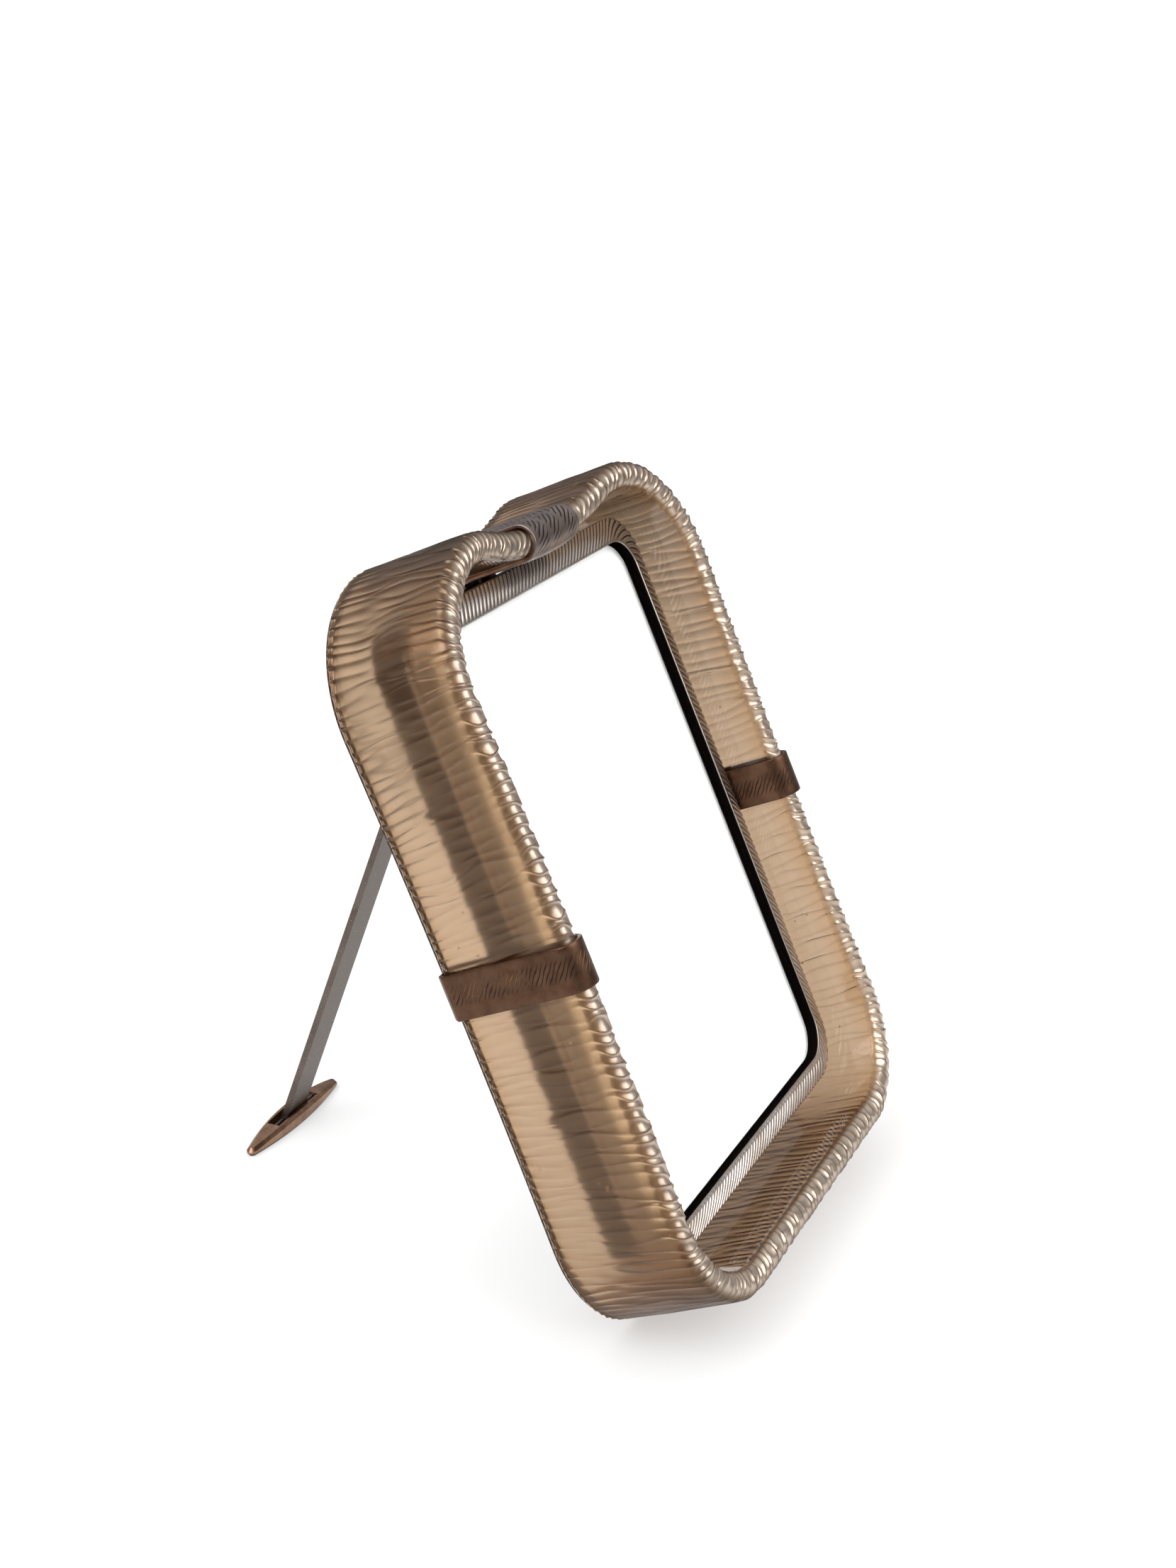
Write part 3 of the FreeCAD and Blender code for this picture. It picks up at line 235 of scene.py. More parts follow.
def flute_depths(phase, along):
    """Depth of the ground flutes, and 1 along the ridges between them. One set comes over
    the rim and one comes from the rear, half a step aside. Each flute is hollow between
    two ridges and steeper on one side, some ridges are ground low, and the two sets end
    against each other in a ragged line on the wall. Over the rim each flute ends by
    itself just inside."""
    height = np.clip(along, 0, 1)
    every_cut = np.arange(CUTS, dtype=float)
    depths, ridges = [], []
    for seed, offset, turn in ((FRONT_SEED, 0.0, 1), (REAR_SEED, 0.5, -1)):
        from_middle = 2 * ((phase + offset) % 1) ** CUT_SKEW - 1
        cut = np.floor(phase + offset).astype(int) % CUTS
        ridge = np.round(phase + offset).astype(int) % CUTS
        keep = ridge_noise(seed, RIDGE_KNOTS, every_cut, height)[:, ridge] * RIDGE_LOSS + (1 - RIDGE_LOSS)
        ends = np.random.default_rng(seed + MEET_SEED_STEP).uniform(MEET_LOW, MEET_HIGH, CUTS)[cut]
        here = smooth(0.5 + turn * (height[:, None] - ends[None, :]) / MEET_SPREAD)
        depths.append(here * (1 - keep * from_middle[None, :] ** 2))
        ridges.append(here * keep * np.abs(from_middle)[None, :] ** RIDGE_POWER)
    ridges = np.maximum(ridges[0], ridges[1] * REAR_RIDGE) * (along < RIDGES_END)[:, None]
    inside = np.random.default_rng(INSIDE_SEED).uniform(INSIDE_LOW, INSIDE_HIGH, CUTS)
    inside = inside[np.floor(phase).astype(int) % CUTS]
    fade = smooth((inside[None, :] - along[:, None]) / INSIDE_FADE)
    front_size = np.interp(along, *FRONT_CUTS)[:, None] * fade
    rear_size = np.interp(along, *REAR_CUTS)[:, None]
    return np.maximum(depths[0] * front_size, depths[1] * rear_size), ridges


# The ridges' way across the wall, as leans in flutes: a random wander, a slant over the
# rim and a slow sweep to and fro. Between them the whole face swells a little.

LEAN_SEED, LEAN_KNOTS, WANDER = 5, 6, 0.4
LEAN_HEIGHTS, RIM_LEANS, SWEEP_LEANS = (0, 0.5, 1), (0, 0, 1.1), (-0.7, 0.7, 1.2)
SWEEPS, SWEEP_START = 3, 0.6
SWELL, SWELL_WAVES, SWELL_BEATS, SWELL_TWIST, SWELL_END = 0.12, 9, 23, 5, 2.5


def ring_points():
    """The ground ring: the wall's section carried round the outline. Columns follow the
    ridges, which wander and lean as they cross the wall and come back inside it. Each
    point is sunk along the section's outward direction by its flute's depth and by the
    swell, which is the product of two sine waves."""
    inward, straight, extra, out, front, along = wall_section()
    phase = np.arange(CUTS * STEPS) / STEPS
    turns = 2 * math.pi * phase[None, :] / CUTS
    height = np.where(along <= 2, along / 2, straight)
    lean = ridge_noise(LEAN_SEED, LEAN_KNOTS, phase, height) * WANDER
    lean += np.interp(height, LEAN_HEIGHTS, RIM_LEANS)[:, None]
    sweep = np.sin(SWEEPS * turns + SWEEP_START)
    lean += sweep * np.interp(height, LEAN_HEIGHTS, SWEEP_LEANS)[:, None]
    points, normals = ring_outline((phase[None, :] + lean) / CUTS)
    waves = np.sin(SWELL_WAVES * turns + SWELL_TWIST * height[:, None])
    wave = 0.5 + 0.5 * waves * np.sin(SWELL_BEATS * turns)
    cuts, ridges = flute_depths(phase, along)
    sink = cuts + SWELL * wave * (along < SWELL_END)[:, None]
    place = points - normals * (inward[:, None] + sink * out[:, None])[..., None]
    depth = RING_DEPTH - GLASS_WALL / 2 - REAR_BEVEL - rim_dip(place[..., 0], place[..., 1])
    depth = straight[:, None] * depth + REAR_BEVEL + extra[:, None] - sink * front[:, None]
    return np.concatenate([place, depth[..., None]], -1), along, ridges


def piece_from(name, vertices, faces, material, rounded=True):
    """A mesh object from arrays of points and of faces that all have as many corners."""
    mesh = bpy.data.meshes.new(name)
    mesh.vertices.add(len(vertices))
    mesh.vertices.foreach_set("co", np.ascontiguousarray(vertices, np.float32).ravel())
    mesh.loops.add(faces.size)
    mesh.loops.foreach_set("vertex_index", np.ascontiguousarray(faces, np.int32).ravel())
    mesh.polygons.add(len(faces))
    mesh.polygons.foreach_set("loop_start", np.arange(0, faces.size, faces.shape[1], dtype=np.int32))
    mesh.polygons.foreach_set("use_smooth", np.full(len(faces), rounded))
    mesh.update(calc_edges=True)
    mesh.materials.append(material)
    piece = bpy.data.objects.new(name, mesh)
    bpy.context.scene.collection.objects.link(piece)
    return piece


def grid_faces(rows, columns):
    """Four-cornered faces of a grid that is closed both ways: each joins a point to the
    next in its row and to the two beside them in the next row."""
    row, column = np.meshgrid(np.arange(rows), np.arange(columns), indexing="ij")
    next_row, next_column = (row + 1) % rows, (column + 1) % columns
    corners = (row * columns + column, row * columns + next_column,
               next_row * columns + next_column, next_row * columns + column)
    return np.stack(corners, -1).reshape(-1, 4)


def set_attribute(piece, name, values):
    """A number at each point of a piece, for its material to read."""
    layer = piece.data.attributes.new(name, "FLOAT", "POINT")
    layer.data.foreach_set("value", np.ascontiguousarray(values, np.float32).ravel())


class Wire:
    """One output socket in a material. Arithmetic on wires and numbers adds Math nodes."""

    def __init__(self, tree, socket):
        self.tree, self.socket = tree, socket

    def maths(self, operation, *others, first=None):
        """The operation on this wire and others, with another first value if one is given."""
        values = (self, *others) if first is None else (first, self)
        return add(self.tree, "ShaderNodeMath", {"operation": operation}, dict(enumerate(values)))

    def __add__(self, other):
        return self.maths("ADD", other)

    def __radd__(self, other):
        return self.maths("ADD", first=other)

    def __sub__(self, other):
        return self.maths("SUBTRACT", other)

    def __rsub__(self, other):
        return self.maths("SUBTRACT", first=other)

    def __mul__(self, other):
        return self.maths("MULTIPLY", other)

    def __rmul__(self, other):
        return self.maths("MULTIPLY", first=other)

    def span(self, low, high, new_low=0.0, new_high=1.0):
        """The value carried from one range to another and kept inside it."""
        values = {0: self, 1: low, 2: high, 3: new_low, 4: new_high}
        return add(self.tree, "ShaderNodeMapRange", {}, values)


def add(tree, kind, settings=None, sockets=None, output=0):
    """A node of a kind: its settings first, then the values or wires of its sockets."""
    node = tree.nodes.new(kind)
    for name, value in (settings or {}).items():
        setattr(node, name, value)
    for name, value in (sockets or {}).items():
        if isinstance(value, Wire):
            tree.links.new(value.socket, node.inputs[name])
        else:
            node.inputs[name].default_value = (*value, 1) if isinstance(value, tuple) else value
    return Wire(tree, node.outputs[output])


def mix(tree, share, first, second):
    """Two colours, as wires or as triples, mixed by a share."""
    return add(tree, "ShaderNodeMix", {"data_type": "RGBA"}, {0: share, 6: first, 7: second}, 2)


def noise(tree, scale, detail=3.0, roughness=0.5, stretch=None):
    """Noise on the piece's own coordinates in metres, finer or coarser along each axis
    if it is stretched."""
    place = add(tree, "ShaderNodeTexCoord", output=3)
    if stretch:
        place = add(tree, "ShaderNodeMapping", {}, {"Vector": place, "Scale": Vector(stretch)})
    values = {"Vector": place, "Scale": scale, "Detail": detail, "Roughness": roughness}
    return add(tree, "ShaderNodeTexNoise", {}, values)


def attribute(tree, name):
    """The number of that name that the piece carries at each point."""
    return add(tree, "ShaderNodeAttribute", {"attribute_name": name}, output=2)


def new_material(name):
    """An empty material: itself, its node tree, and its output node."""
    material = bpy.data.materials.new(name)
    material.use_nodes = True
    material.node_tree.nodes.clear()
    return material, material.node_tree, material.node_tree.nodes.new("ShaderNodeOutputMaterial")


def principled(tree, output, sockets):
    """A Principled shader on the output, with its sockets by their names."""
    shader = add(tree, "ShaderNodeBsdfPrincipled", {}, sockets)
    tree.links.new(shader.socket, output.inputs["Surface"])


def bump(tree, height, strength, distance):
    """A normal from a height between 0 and 1, with the distance in metres."""
    return add(tree, "ShaderNodeBump", {}, {"Height": height, "Strength": strength, "Distance": distance})


def let_light_through(tree, output, shader, tint):
    """Shadow rays pass the shader by and take only a tint, so glass doesn't shade black."""
    shadow = add(tree, "ShaderNodeLightPath", output=1)
    clear = add(tree, "ShaderNodeBsdfTransparent", {}, {"Color": tint})
    both = add(tree, "ShaderNodeMixShader", {}, {0: shadow, 1: shader, 2: clear})
    tree.links.new(both.socket, output.inputs["Surface"])


# The two ridge colours are painted shade along the flutes' ridges.
CLEAR, WARM, CLEAR_RIDGE_SHADE = (0.97, 0.95, 0.915), (0.9, 0.72, 0.48), (0.42, 0.28, 0.17)
HONEY, PEARL, PEARL_RIDGE_SHADE = (0.40, 0.225, 0.09), (0.80, 0.66, 0.53), (0.14, 0.08, 0.04)
AMBER, AMBER_DENSITY, AMBER_SHADOW = (0.616, 0.351, 0.04), 140.0, (0.9, 0.85, 0.75)
SATIN, SATIN_SPREAD, POLISH = 0.27, 0.08, 0.02
RIDGE_SHADE_SHARE, VEIL_LEAST, VEIL_SPREAD = 0.55, 0.7, 0.6


def amber_glass():
    """Smoky amber glass: the colour lies in its depth, the ground faces are satin with a
    thin veil that catches the light, and the inner wall is clear. The veil is honey
    where the grinding is fine and pearl where it is coarse. Along the ridges the glass
    and the veil are painted darker, as painted shade."""
    material, tree, output = new_material("amber_glass")
    ground, ridge, strip = (attribute(tree, name) for name in ("ground", "ridge", "strip"))
    satin = noise(tree, 700, 2) * SATIN_SPREAD + SATIN
    # Painted shade: the glass's colour turns dark brown along the ridges.
    clear = mix(tree, ridge * RIDGE_SHADE_SHARE, mix(tree, strip, CLEAR, WARM), CLEAR_RIDGE_SHADE)
    glass = add(tree, "ShaderNodeBsdfPrincipled", {},
                {"Base Color": clear, "Transmission Weight": 1.0, "IOR": 1.5,
                 "Roughness": ground.span(0, 0.1) * satin + POLISH})
    # Painted shade: the veil turns nearly black-brown along the ridges.
    pearl = mix(tree, ridge, mix(tree, ground.span(0.25, 0.55), HONEY, PEARL), PEARL_RIDGE_SHADE)
    veil = add(tree, "ShaderNodeBsdfPrincipled", {},
               {"Base Color": pearl, "Metallic": 0.85, "Roughness": 0.3, "IOR": 1.5})
    veiled = ground * (noise(tree, 260) * VEIL_SPREAD + VEIL_LEAST)
    shader = add(tree, "ShaderNodeMixShader", {}, {0: veiled, 1: glass, 2: veil})
    let_light_through(tree, output, shader, AMBER_SHADOW)
    tint = add(tree, "ShaderNodeVolumeAbsorption", {}, {"Color": AMBER, "Density": AMBER_DENSITY})
    tree.links.new(tint.socket, output.inputs["Volume"])
    return material


# How far a face is ground, which sets its veil and its satin, and where the warm strip
# lies: places along the flutes, and the shares there.

GROUND = ((0, 0.08, 1.1, 1.4, 1.8, 1.95, PLAIN), (0.3, 0.17, 0.17, 0.62, 0.62, 0, 0))
STRIP = ((0.05, 0.15, 0.7, 0.9, 1.2, 1.4), (1, 0, 0, 1, 1, 0))

ring_grid, ring_along, ring_ridges = ring_points()
glass = piece_from("glass_ring_ground", in_ring(ring_grid).reshape(-1, 3),
                   grid_faces(*ring_grid.shape[:2]), amber_glass())
set_attribute(glass, "ground", np.repeat(np.interp(ring_along, *GROUND), CUTS * STEPS))
set_attribute(glass, "strip", np.repeat(np.interp(ring_along, *STRIP), CUTS * STEPS))
set_attribute(glass, "ridge", ring_ridges)
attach(glass, "root")
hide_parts("glass_ring")


# Bubbles: small round bubbles of air, shut in the glass when it was cast. They lie at
# random, well under its faces.

BUBBLES, BUBBLE_LEAST, BUBBLE_MOST = 54, 0.12, 0.42
BUBBLE_COVER, BUBBLE_REAR, BUBBLE_FRONT, BUBBLE_SEED = 2.2, 4, 32, 31
BUBBLE_ROWS, BUBBLE_COLUMNS = 7, 8
SAME_POINT = 1e-7


def ball_points():
    """A unit ball on a grid of angles, by their sines and cosines. Each pole's row is one
    point repeated."""
    polar = np.linspace(0, math.pi, BUBBLE_ROWS)[:, None]
    round_it = np.arange(BUBBLE_COLUMNS)[None, :] * 2 * math.pi / BUBBLE_COLUMNS
    grid = (np.sin(polar) * np.cos(round_it), np.sin(polar) * np.sin(round_it),
            -np.cos(polar) + 0 * round_it)
    return np.stack(grid, -1).reshape(-1, 3)


def bubble_painted_reflection():
    """A bubble is a small pale opaque ball: its pale colour is a painted reflection of the light its wall
    mirrors inside the glass, so it shows as a pale spark.
    """
    material, tree, output = new_material("bubble_painted_reflection")
    # Painted reflection: pale cream colours stand for the light a bubble mirrors.
    pale = mix(tree, noise(tree, 900), (1.0, 0.96, 0.88), (0.85, 0.75, 0.6))
    principled(tree, output, {"Base Color": pale, "Roughness": 0.2})
    return material


draw = np.random.default_rng(BUBBLE_SEED)
spot, normal = ring_outline(draw.uniform(0, 1, BUBBLES))
spot = spot - normal * draw.uniform(BUBBLE_COVER, GLASS_WALL - BUBBLE_COVER, BUBBLES)[:, None]
spot = np.column_stack([spot, draw.uniform(BUBBLE_REAR, BUBBLE_FRONT, BUBBLES)])
size = draw.uniform(BUBBLE_LEAST, BUBBLE_MOST, BUBBLES)[:, None, None]
ball = ball_points()
places = in_ring(spot[:, None, :] + ball[None, :, :] * size).reshape(-1, 3)
ball_faces = grid_faces(BUBBLE_ROWS, BUBBLE_COLUMNS)[:(BUBBLE_ROWS - 1) * BUBBLE_COLUMNS]
faces = (ball_faces[None, :, :] + np.arange(BUBBLES)[:, None, None] * len(ball)).reshape(-1, 4)
bubbles = piece_from("glass_bubbles", places, faces, bubble_painted_reflection())
merged = bmesh.new()
merged.from_mesh(bubbles.data)
bmesh.ops.remove_doubles(merged, verts=merged.verts, dist=SAME_POINT)
merged.to_mesh(bubbles.data)
merged.free()
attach(bubbles, "root")


# Moulding: a band of silvered bronze cast as a twisted rope round the opening, with
# a smooth bright edge at the top and a straight reveal down to the pane, painted
# nearly black as painted shade.

OPENING_WIDTH, OPENING_HEIGHT, OPENING_CORNER = 127, 174.6, 10
MOULDING_BAND, MOULDING_CORNER, MOULDING_LIP = 7.5, 14.5, 0.6
MOULDING_REAR, MOULDING_EDGE, MOULDING_CREST = 21, 23.6, 24.8
MOULDING_SWELL, MOULDING_EASE = 0.35, 0.3
RIBS, RIB_STEPS, RIB_DEPTH, RIB_LEAN, SLOPE_ROWS = 270, 6, 0.6, 2.9, 12
RIB_END, RIB_ROUND = 0.6, 0.7


def rounded_rectangle(width, height, corner, share):
    """Points of a rounded rectangle at shares of the way round it, anticlockwise from the
    foot of the right side. A smaller rectangle's points are moved out by the cosine and
    sine of an angle, which turns only at its corners. Each corner takes the same share
    whatever its radius."""
    x, y = width / 2 - corner, height / 2 - corner
    reach = OPENING_CORNER * math.pi / 2
    lengths = [OPENING_HEIGHT - 2 * OPENING_CORNER, reach, OPENING_WIDTH - 2 * OPENING_CORNER, reach]
    stops = np.concatenate([[0], np.cumsum(lengths * 2)])
    along = (share % 1) * stops[-1]
    index = np.clip(np.searchsorted(stops, along, side="right") - 1, 0, 7)
    part = (along - stops[index]) / (stops[index + 1] - stops[index])
    ends = np.array([(x, -y), (x, y), (x, y), (-x, y), (-x, y), (-x, -y), (-x, -y), (x, -y)], float)
    after = np.roll(ends, -1, axis=0)
    angle = np.where(index % 2 == 1, index // 2 + part, index // 2) * math.pi / 2
    base = ends[index] * (1 - part[..., None]) + after[index] * part[..., None]
    return base + corner * np.stack([np.cos(angle), np.sin(angle)], -1)


def moulding_points():
    """The rope moulding: its section, from the rear edge out and up the slope, over the
    crest and down the reveal, carried round the opening. The ribs lean outwards as they
    go clockwise, and each is a round between two grooves, whose depth is 1 less a power
    of the sine."""
    slope = np.linspace(0, 1, SLOPE_ROWS)
    lip = MOULDING_LIP / MOULDING_BAND
    off = np.concatenate([[1, 1], 1 - slope * (1 - lip), [lip / 3, 0, 0]])
    rise = MOULDING_EDGE + (MOULDING_CREST - MOULDING_EDGE) * slope
    rise = rise + MOULDING_SWELL * np.sin(math.pi * slope)
    depth = np.concatenate([[MOULDING_REAR, MOULDING_EDGE - MOULDING_EASE], rise,
                            [MOULDING_CREST, MOULDING_CREST - MOULDING_EASE, MOULDING_REAR]])
    phase = np.arange(RIBS * RIB_STEPS) / RIB_STEPS
    lean = np.concatenate([[0, 0], slope, [1, 1, 1]]) * RIB_LEAN
    share = (phase[None, :] + lean[:, None]) / RIBS
    inner = rounded_rectangle(OPENING_WIDTH, OPENING_HEIGHT, OPENING_CORNER, share)
    outer = rounded_rectangle(OPENING_WIDTH + 2 * MOULDING_BAND, OPENING_HEIGHT + 2 * MOULDING_BAND,
                              MOULDING_CORNER, share)
    place = inner + (outer - inner) * off[:, None, None]
    strength = np.concatenate([[0, RIB_END], np.ones(SLOPE_ROWS - 2), [RIB_END, 0, 0, 0, 0]])
    groove = strength[:, None] * (1 - np.abs(np.sin(math.pi * phase)) ** RIB_ROUND)[None, :]
    # The reveal's rows, which the material paints nearly black as painted shade.
    shaded_reveal = np.concatenate([np.zeros(SLOPE_ROWS + 3), [1, 1]])[:, None] + 0 * groove
    depth = depth[:, None] - RIB_DEPTH * groove
    return np.concatenate([place, depth[..., None]], -1), groove, shaded_reveal


def silvered_bronze():
    """Cast bronze, silvered and rubbed: bright on the ribs and dark in the grooves.
    Down the reveal it is painted nearly black and matt, as painted shade."""
    material, tree, output = new_material("silvered_bronze")
    groove, shaded_reveal = attribute(tree, "groove"), attribute(tree, "shaded_reveal")
    cloud = noise(tree, 160, 4).span(0.35, 0.7)
    metal = mix(tree, cloud, (0.66, 0.61, 0.58), (0.48, 0.41, 0.36))
    metal = mix(tree, groove.span(0.2, 0.7), metal, (0.035, 0.025, 0.02))
    # Painted shade: the reveal is painted nearly black, not metal.
    metal = mix(tree, shaded_reveal, metal, (0.004, 0.003, 0.003))
    principled(tree, output, {"Base Color": metal, "Metallic": 1.0 - shaded_reveal, "Specular IOR Level": 0.0,
                              "Roughness": groove * 0.25 + cloud * 0.08 + 0.2 + shaded_reveal * 0.6})
    return material


moulding_grid, groove, shaded_reveal = moulding_points()
moulding = piece_from("rope_moulding", in_ring(moulding_grid).reshape(-1, 3),
                      grid_faces(*moulding_grid.shape[:2]), silvered_bronze())
set_attribute(moulding, "groove", groove)
set_attribute(moulding, "shaded_reveal", shaded_reveal)
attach(moulding, "root")
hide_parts("bezel_moulding")


# Side straps: bronze strips bent round the glass and closed behind it, with one row
# of slanting strokes engraved along the middle. A tab behind the case takes a screw.

STRAP_THICKNESS, STRAP_GAP, STRAP_ROUND = 1.1, 0.15, 0.35
SIDE_STRAP_WIDTH, SIDE_STRAP_DROP, SIDE_STRAP_COLUMNS = 13, 1.6, 12
CASE_HALF_WIDTH, CASE_HALF_HEIGHT, CASE_REAR = 70, 93.8, 11
TAB_WIDTH, TAB_LAP, TAB_ROOT = 9, 3.6, STRAP_GAP + STRAP_THICKNESS / 2
STROKES_START, STROKES_END = 1, 84
PATH_FINENESS = 4


def arch_path(outer, inner, lift=0.0):
    """The glass wall's section as a closed path of straight runs and round turns: points
    across and in depth, the outward direction, and the length along the strap's outer
    face."""
    half, middle = (outer - inner) / 2, (outer + inner) / 2
    front = RING_DEPTH + lift - half
    grow = STRAP_GAP + STRAP_THICKNESS
    corners = ((outer, REAR_BEVEL), (outer, front), (inner, front), (inner, REAR_BEVEL),
               (inner + REAR_BEVEL, 0), (outer - REAR_BEVEL, 0))
    # Each straight run is followed by the turn at its end.
    runs = ((0, 1, 0, 180), (2, 3, 180, 225), (3, 4, 225, 270), (4, 5, 270, 315), (5, 0, 315, 360))
    base, angles = [], []
    for first, last, heading, after in runs:
        start, end = np.array(corners[first]), np.array(corners[last])
        count = max(2, int(math.dist(start, end) * PATH_FINENESS))
        part = np.linspace(0, 1, count, endpoint=False)[:, None]
        base.append(start * (1 - part) + end * part)
        angles.append(np.full(len(part), float(heading)))
        radius = half if after == 180 else 0
        centre = np.array((middle, front)) if after == 180 else end
        count = max(3, int(math.radians(after - heading) * (radius + grow) * PATH_FINENESS))
        turn = np.linspace(heading, after, count, endpoint=False)
        base.append(centre + radius * np.stack([np.cos(np.radians(turn)), np.sin(np.radians(turn))], -1))
        angles.append(turn)
    base, angles = np.concatenate(base), np.radians(np.concatenate(angles))
    out = np.stack([np.cos(angles), np.sin(angles)], -1)
    outside = base + out * grow
    steps = np.linalg.norm(np.roll(outside, -1, axis=0) - outside, axis=1)
    return base, out, np.concatenate([[0], np.cumsum(steps)[:-1]])


def strip_section(width, columns):
    """Points round a strip's section with rounded edges: across it, the share of its
    thickness, and 1 on its outer face where strokes may be cut."""
    across = np.linspace(-1, 1, columns) * (width / 2 - STRAP_ROUND)
    turn = np.array([30, 60, 90]) * math.pi / 180
    side = width / 2 - STRAP_ROUND + STRAP_ROUND * np.sin(turn)
    level = 1 - STRAP_ROUND * (1 - np.cos(turn)) / STRAP_THICKNESS
    x = np.concatenate([across, side, [width / 2, 0, -width / 2], -side[::-1]])
    thick = np.concatenate([np.ones(columns), level, [0, 0, 0], level[::-1]])
    return x, thick, np.concatenate([np.ones(columns), np.zeros(len(x) - columns)])


STROKE_DEPTH, STROKE_EDGE = 0.25, 0.12
WOBBLE, WOBBLE_RATE, TAPER_POWER = 0.15, 1.7, 4.0


def strap_bronze(name, dark, light, rows, pitch, slant, row_half, stroke_half):
    """Dark bronze, rubbed a little, with rows of slanting engraved strokes that taper to
    both ends. They hold dirt, and in places they show the bright metal. The strap's
    attributes give the way along it and across it in mm and where it is engraved. A
    row is its middle across the strap and its start along it."""
    material, tree, output = new_material(name)
    along, across = attribute(tree, "along"), attribute(tree, "across")
    wobble = (along * WOBBLE_RATE).maths("SINE") * WOBBLE
    stroke = 0.0
    for centre, start in rows:
        aside = across - centre
        phase = (along + wobble + start + aside * slant) * (1 / pitch)
        away = phase.maths("PINGPONG", 0.5) * pitch
        taper = 1.0 - (aside * (1 / row_half)).maths("ABSOLUTE").maths("POWER", TAPER_POWER)
        stroke = (taper * stroke_half - away).span(0, STROKE_EDGE) + stroke
    stroke = stroke * attribute(tree, "engraved")
    cloud = noise(tree, 220, 5, 0.6).span(0.3, 0.72)
    fine = noise(tree, 2600, 2)
    in_stroke = mix(tree, noise(tree, 60).span(0.54, 0.7), (0.02, 0.011, 0.008), (0.3, 0.18, 0.08))
    metal = mix(tree, stroke, mix(tree, cloud, dark, light), in_stroke)
    principled(tree, output, {"Base Color": metal, "Metallic": 0.85,
                              "Roughness": cloud * 0.1 + fine * 0.1 + 0.26,
                              "Normal": bump(tree, 1.0 - stroke, 1.0, STROKE_DEPTH * MM)})
    return material


side_bronze = strap_bronze("side_strap_bronze", dark=(0.07, 0.033, 0.018), light=(0.14, 0.073, 0.043),
                           rows=((-0.7, 0.0),), pitch=1.5, slant=0.75, row_half=3.3, stroke_half=0.21)


def box_points(low, high):
    """The eight corners of a box that lies square to the ring, and its six faces."""
    ends, choice = (low, high), (0, 1)
    corners = [[ends[x][0], ends[y][1], ends[z][2]] for z in choice for y in choice for x in choice]
    faces = np.array([(0, 2, 3, 1), (4, 5, 7, 6), (0, 1, 5, 4), (2, 6, 7, 3), (0, 4, 6, 2), (1, 3, 7, 5)])
    return np.array(corners, float), faces


def strap_piece(name, node, material, band, tab_low, tab_high):
    """A strap from its band's grid, which is closed both ways, and from its tab. The
    strokes run from the rear of the outer face over the rim and end inside."""
    points, along, across, face = band
    rows, columns = points.shape[:2]
    tab, tab_faces = box_points(tab_low, tab_high)
    vertices = np.concatenate([points.reshape(-1, 3), tab])
    faces = np.concatenate([grid_faces(rows, columns), tab_faces + rows * columns])
    piece = piece_from(name, in_ring(vertices), faces, material)
    engraved = face[:, None] * ((along > STROKES_START) & (along < STROKES_END))[None, :]
    fields = {"along": along + 0 * engraved, "across": across[:, None] + 0 * engraved, "engraved": engraved}
    for label, values in fields.items():
        set_attribute(piece, label, np.concatenate([values.ravel(), np.zeros(len(tab))]))
    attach(piece, "root")
    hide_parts(node)


def side_strap_grid(side):
    """The side strap's band: its strip's section carried along the path round the glass.
    Rows go round the section and columns along the path. side is 1 on the right and -1
    on the left."""
    outer = RING_WIDTH / 2 - SIDE_WAIST
    base, out, along = arch_path(outer, outer - GLASS_WALL)
    x, thick, face = strip_section(SIDE_STRAP_WIDTH, SIDE_STRAP_COLUMNS)
    lift = STRAP_GAP + STRAP_THICKNESS * thick
    section = base[None, :, :] + out[None, :, :] * lift[:, None, None]
    up = -SIDE_STRAP_DROP - x[:, None] + 0 * section[..., 0]
    grid = np.stack([section[..., 0] * side, up, section[..., 1]], -1)
    return grid[::side], along, -side * x[::side], face[::side]


tab_reach = RING_WIDTH / 2 - SIDE_WAIST - GLASS_WALL - TAB_ROOT
for name, node, side in (("strap_left_band", "strap_left", -1), ("strap_right_band", "strap_right", 1)):
    reach = sorted((side * (CASE_HALF_WIDTH - TAB_LAP), side * tab_reach))
    strap_piece(name, node, side_bronze, side_strap_grid(side),
                (reach[0], -SIDE_STRAP_DROP - TAB_WIDTH / 2, CASE_REAR - STRAP_THICKNESS),
                (reach[1], -SIDE_STRAP_DROP + TAB_WIDTH / 2, CASE_REAR))


# Top strap: a wider bronze band that follows the waist of the top bar, with three
# rows of short strokes that step aside from row to row. Its bronze is painted lighter
# and greyer than the side straps', as painted light where light falls on the top.

TOP_STRAP_WIDTH, TOP_STRAP_COLUMNS, STROKE_ROW_GAP = 27.5, 24, 8.6


def top_strap_grid():
    """The top strap's band. Its strip is bent about the axis of the top bar's arc, and it
    clears the dip's arc at its own two edges."""
    outer = RING_HEIGHT / 2 - TOP_WAIST
    lift = DIP_RADIUS - math.sqrt(DIP_RADIUS ** 2 - TOP_STRAP_WIDTH ** 2 / 4) - FRONT_DIP
    base, out, along = arch_path(outer, outer - GLASS_WALL, lift)
    x, thick, face = strip_section(TOP_STRAP_WIDTH, TOP_STRAP_COLUMNS)
    lifted = STRAP_GAP + STRAP_THICKNESS * thick
    section = base[None, :, :] + out[None, :, :] * lifted[:, None, None]
    axis, swing = outer + TOP_RADIUS, x[:, None] / TOP_RADIUS
    away = axis - section[..., 0]
    grid = np.stack([away * np.sin(swing), axis - away * np.cos(swing), section[..., 1]], -1)
    return grid, along, x, face


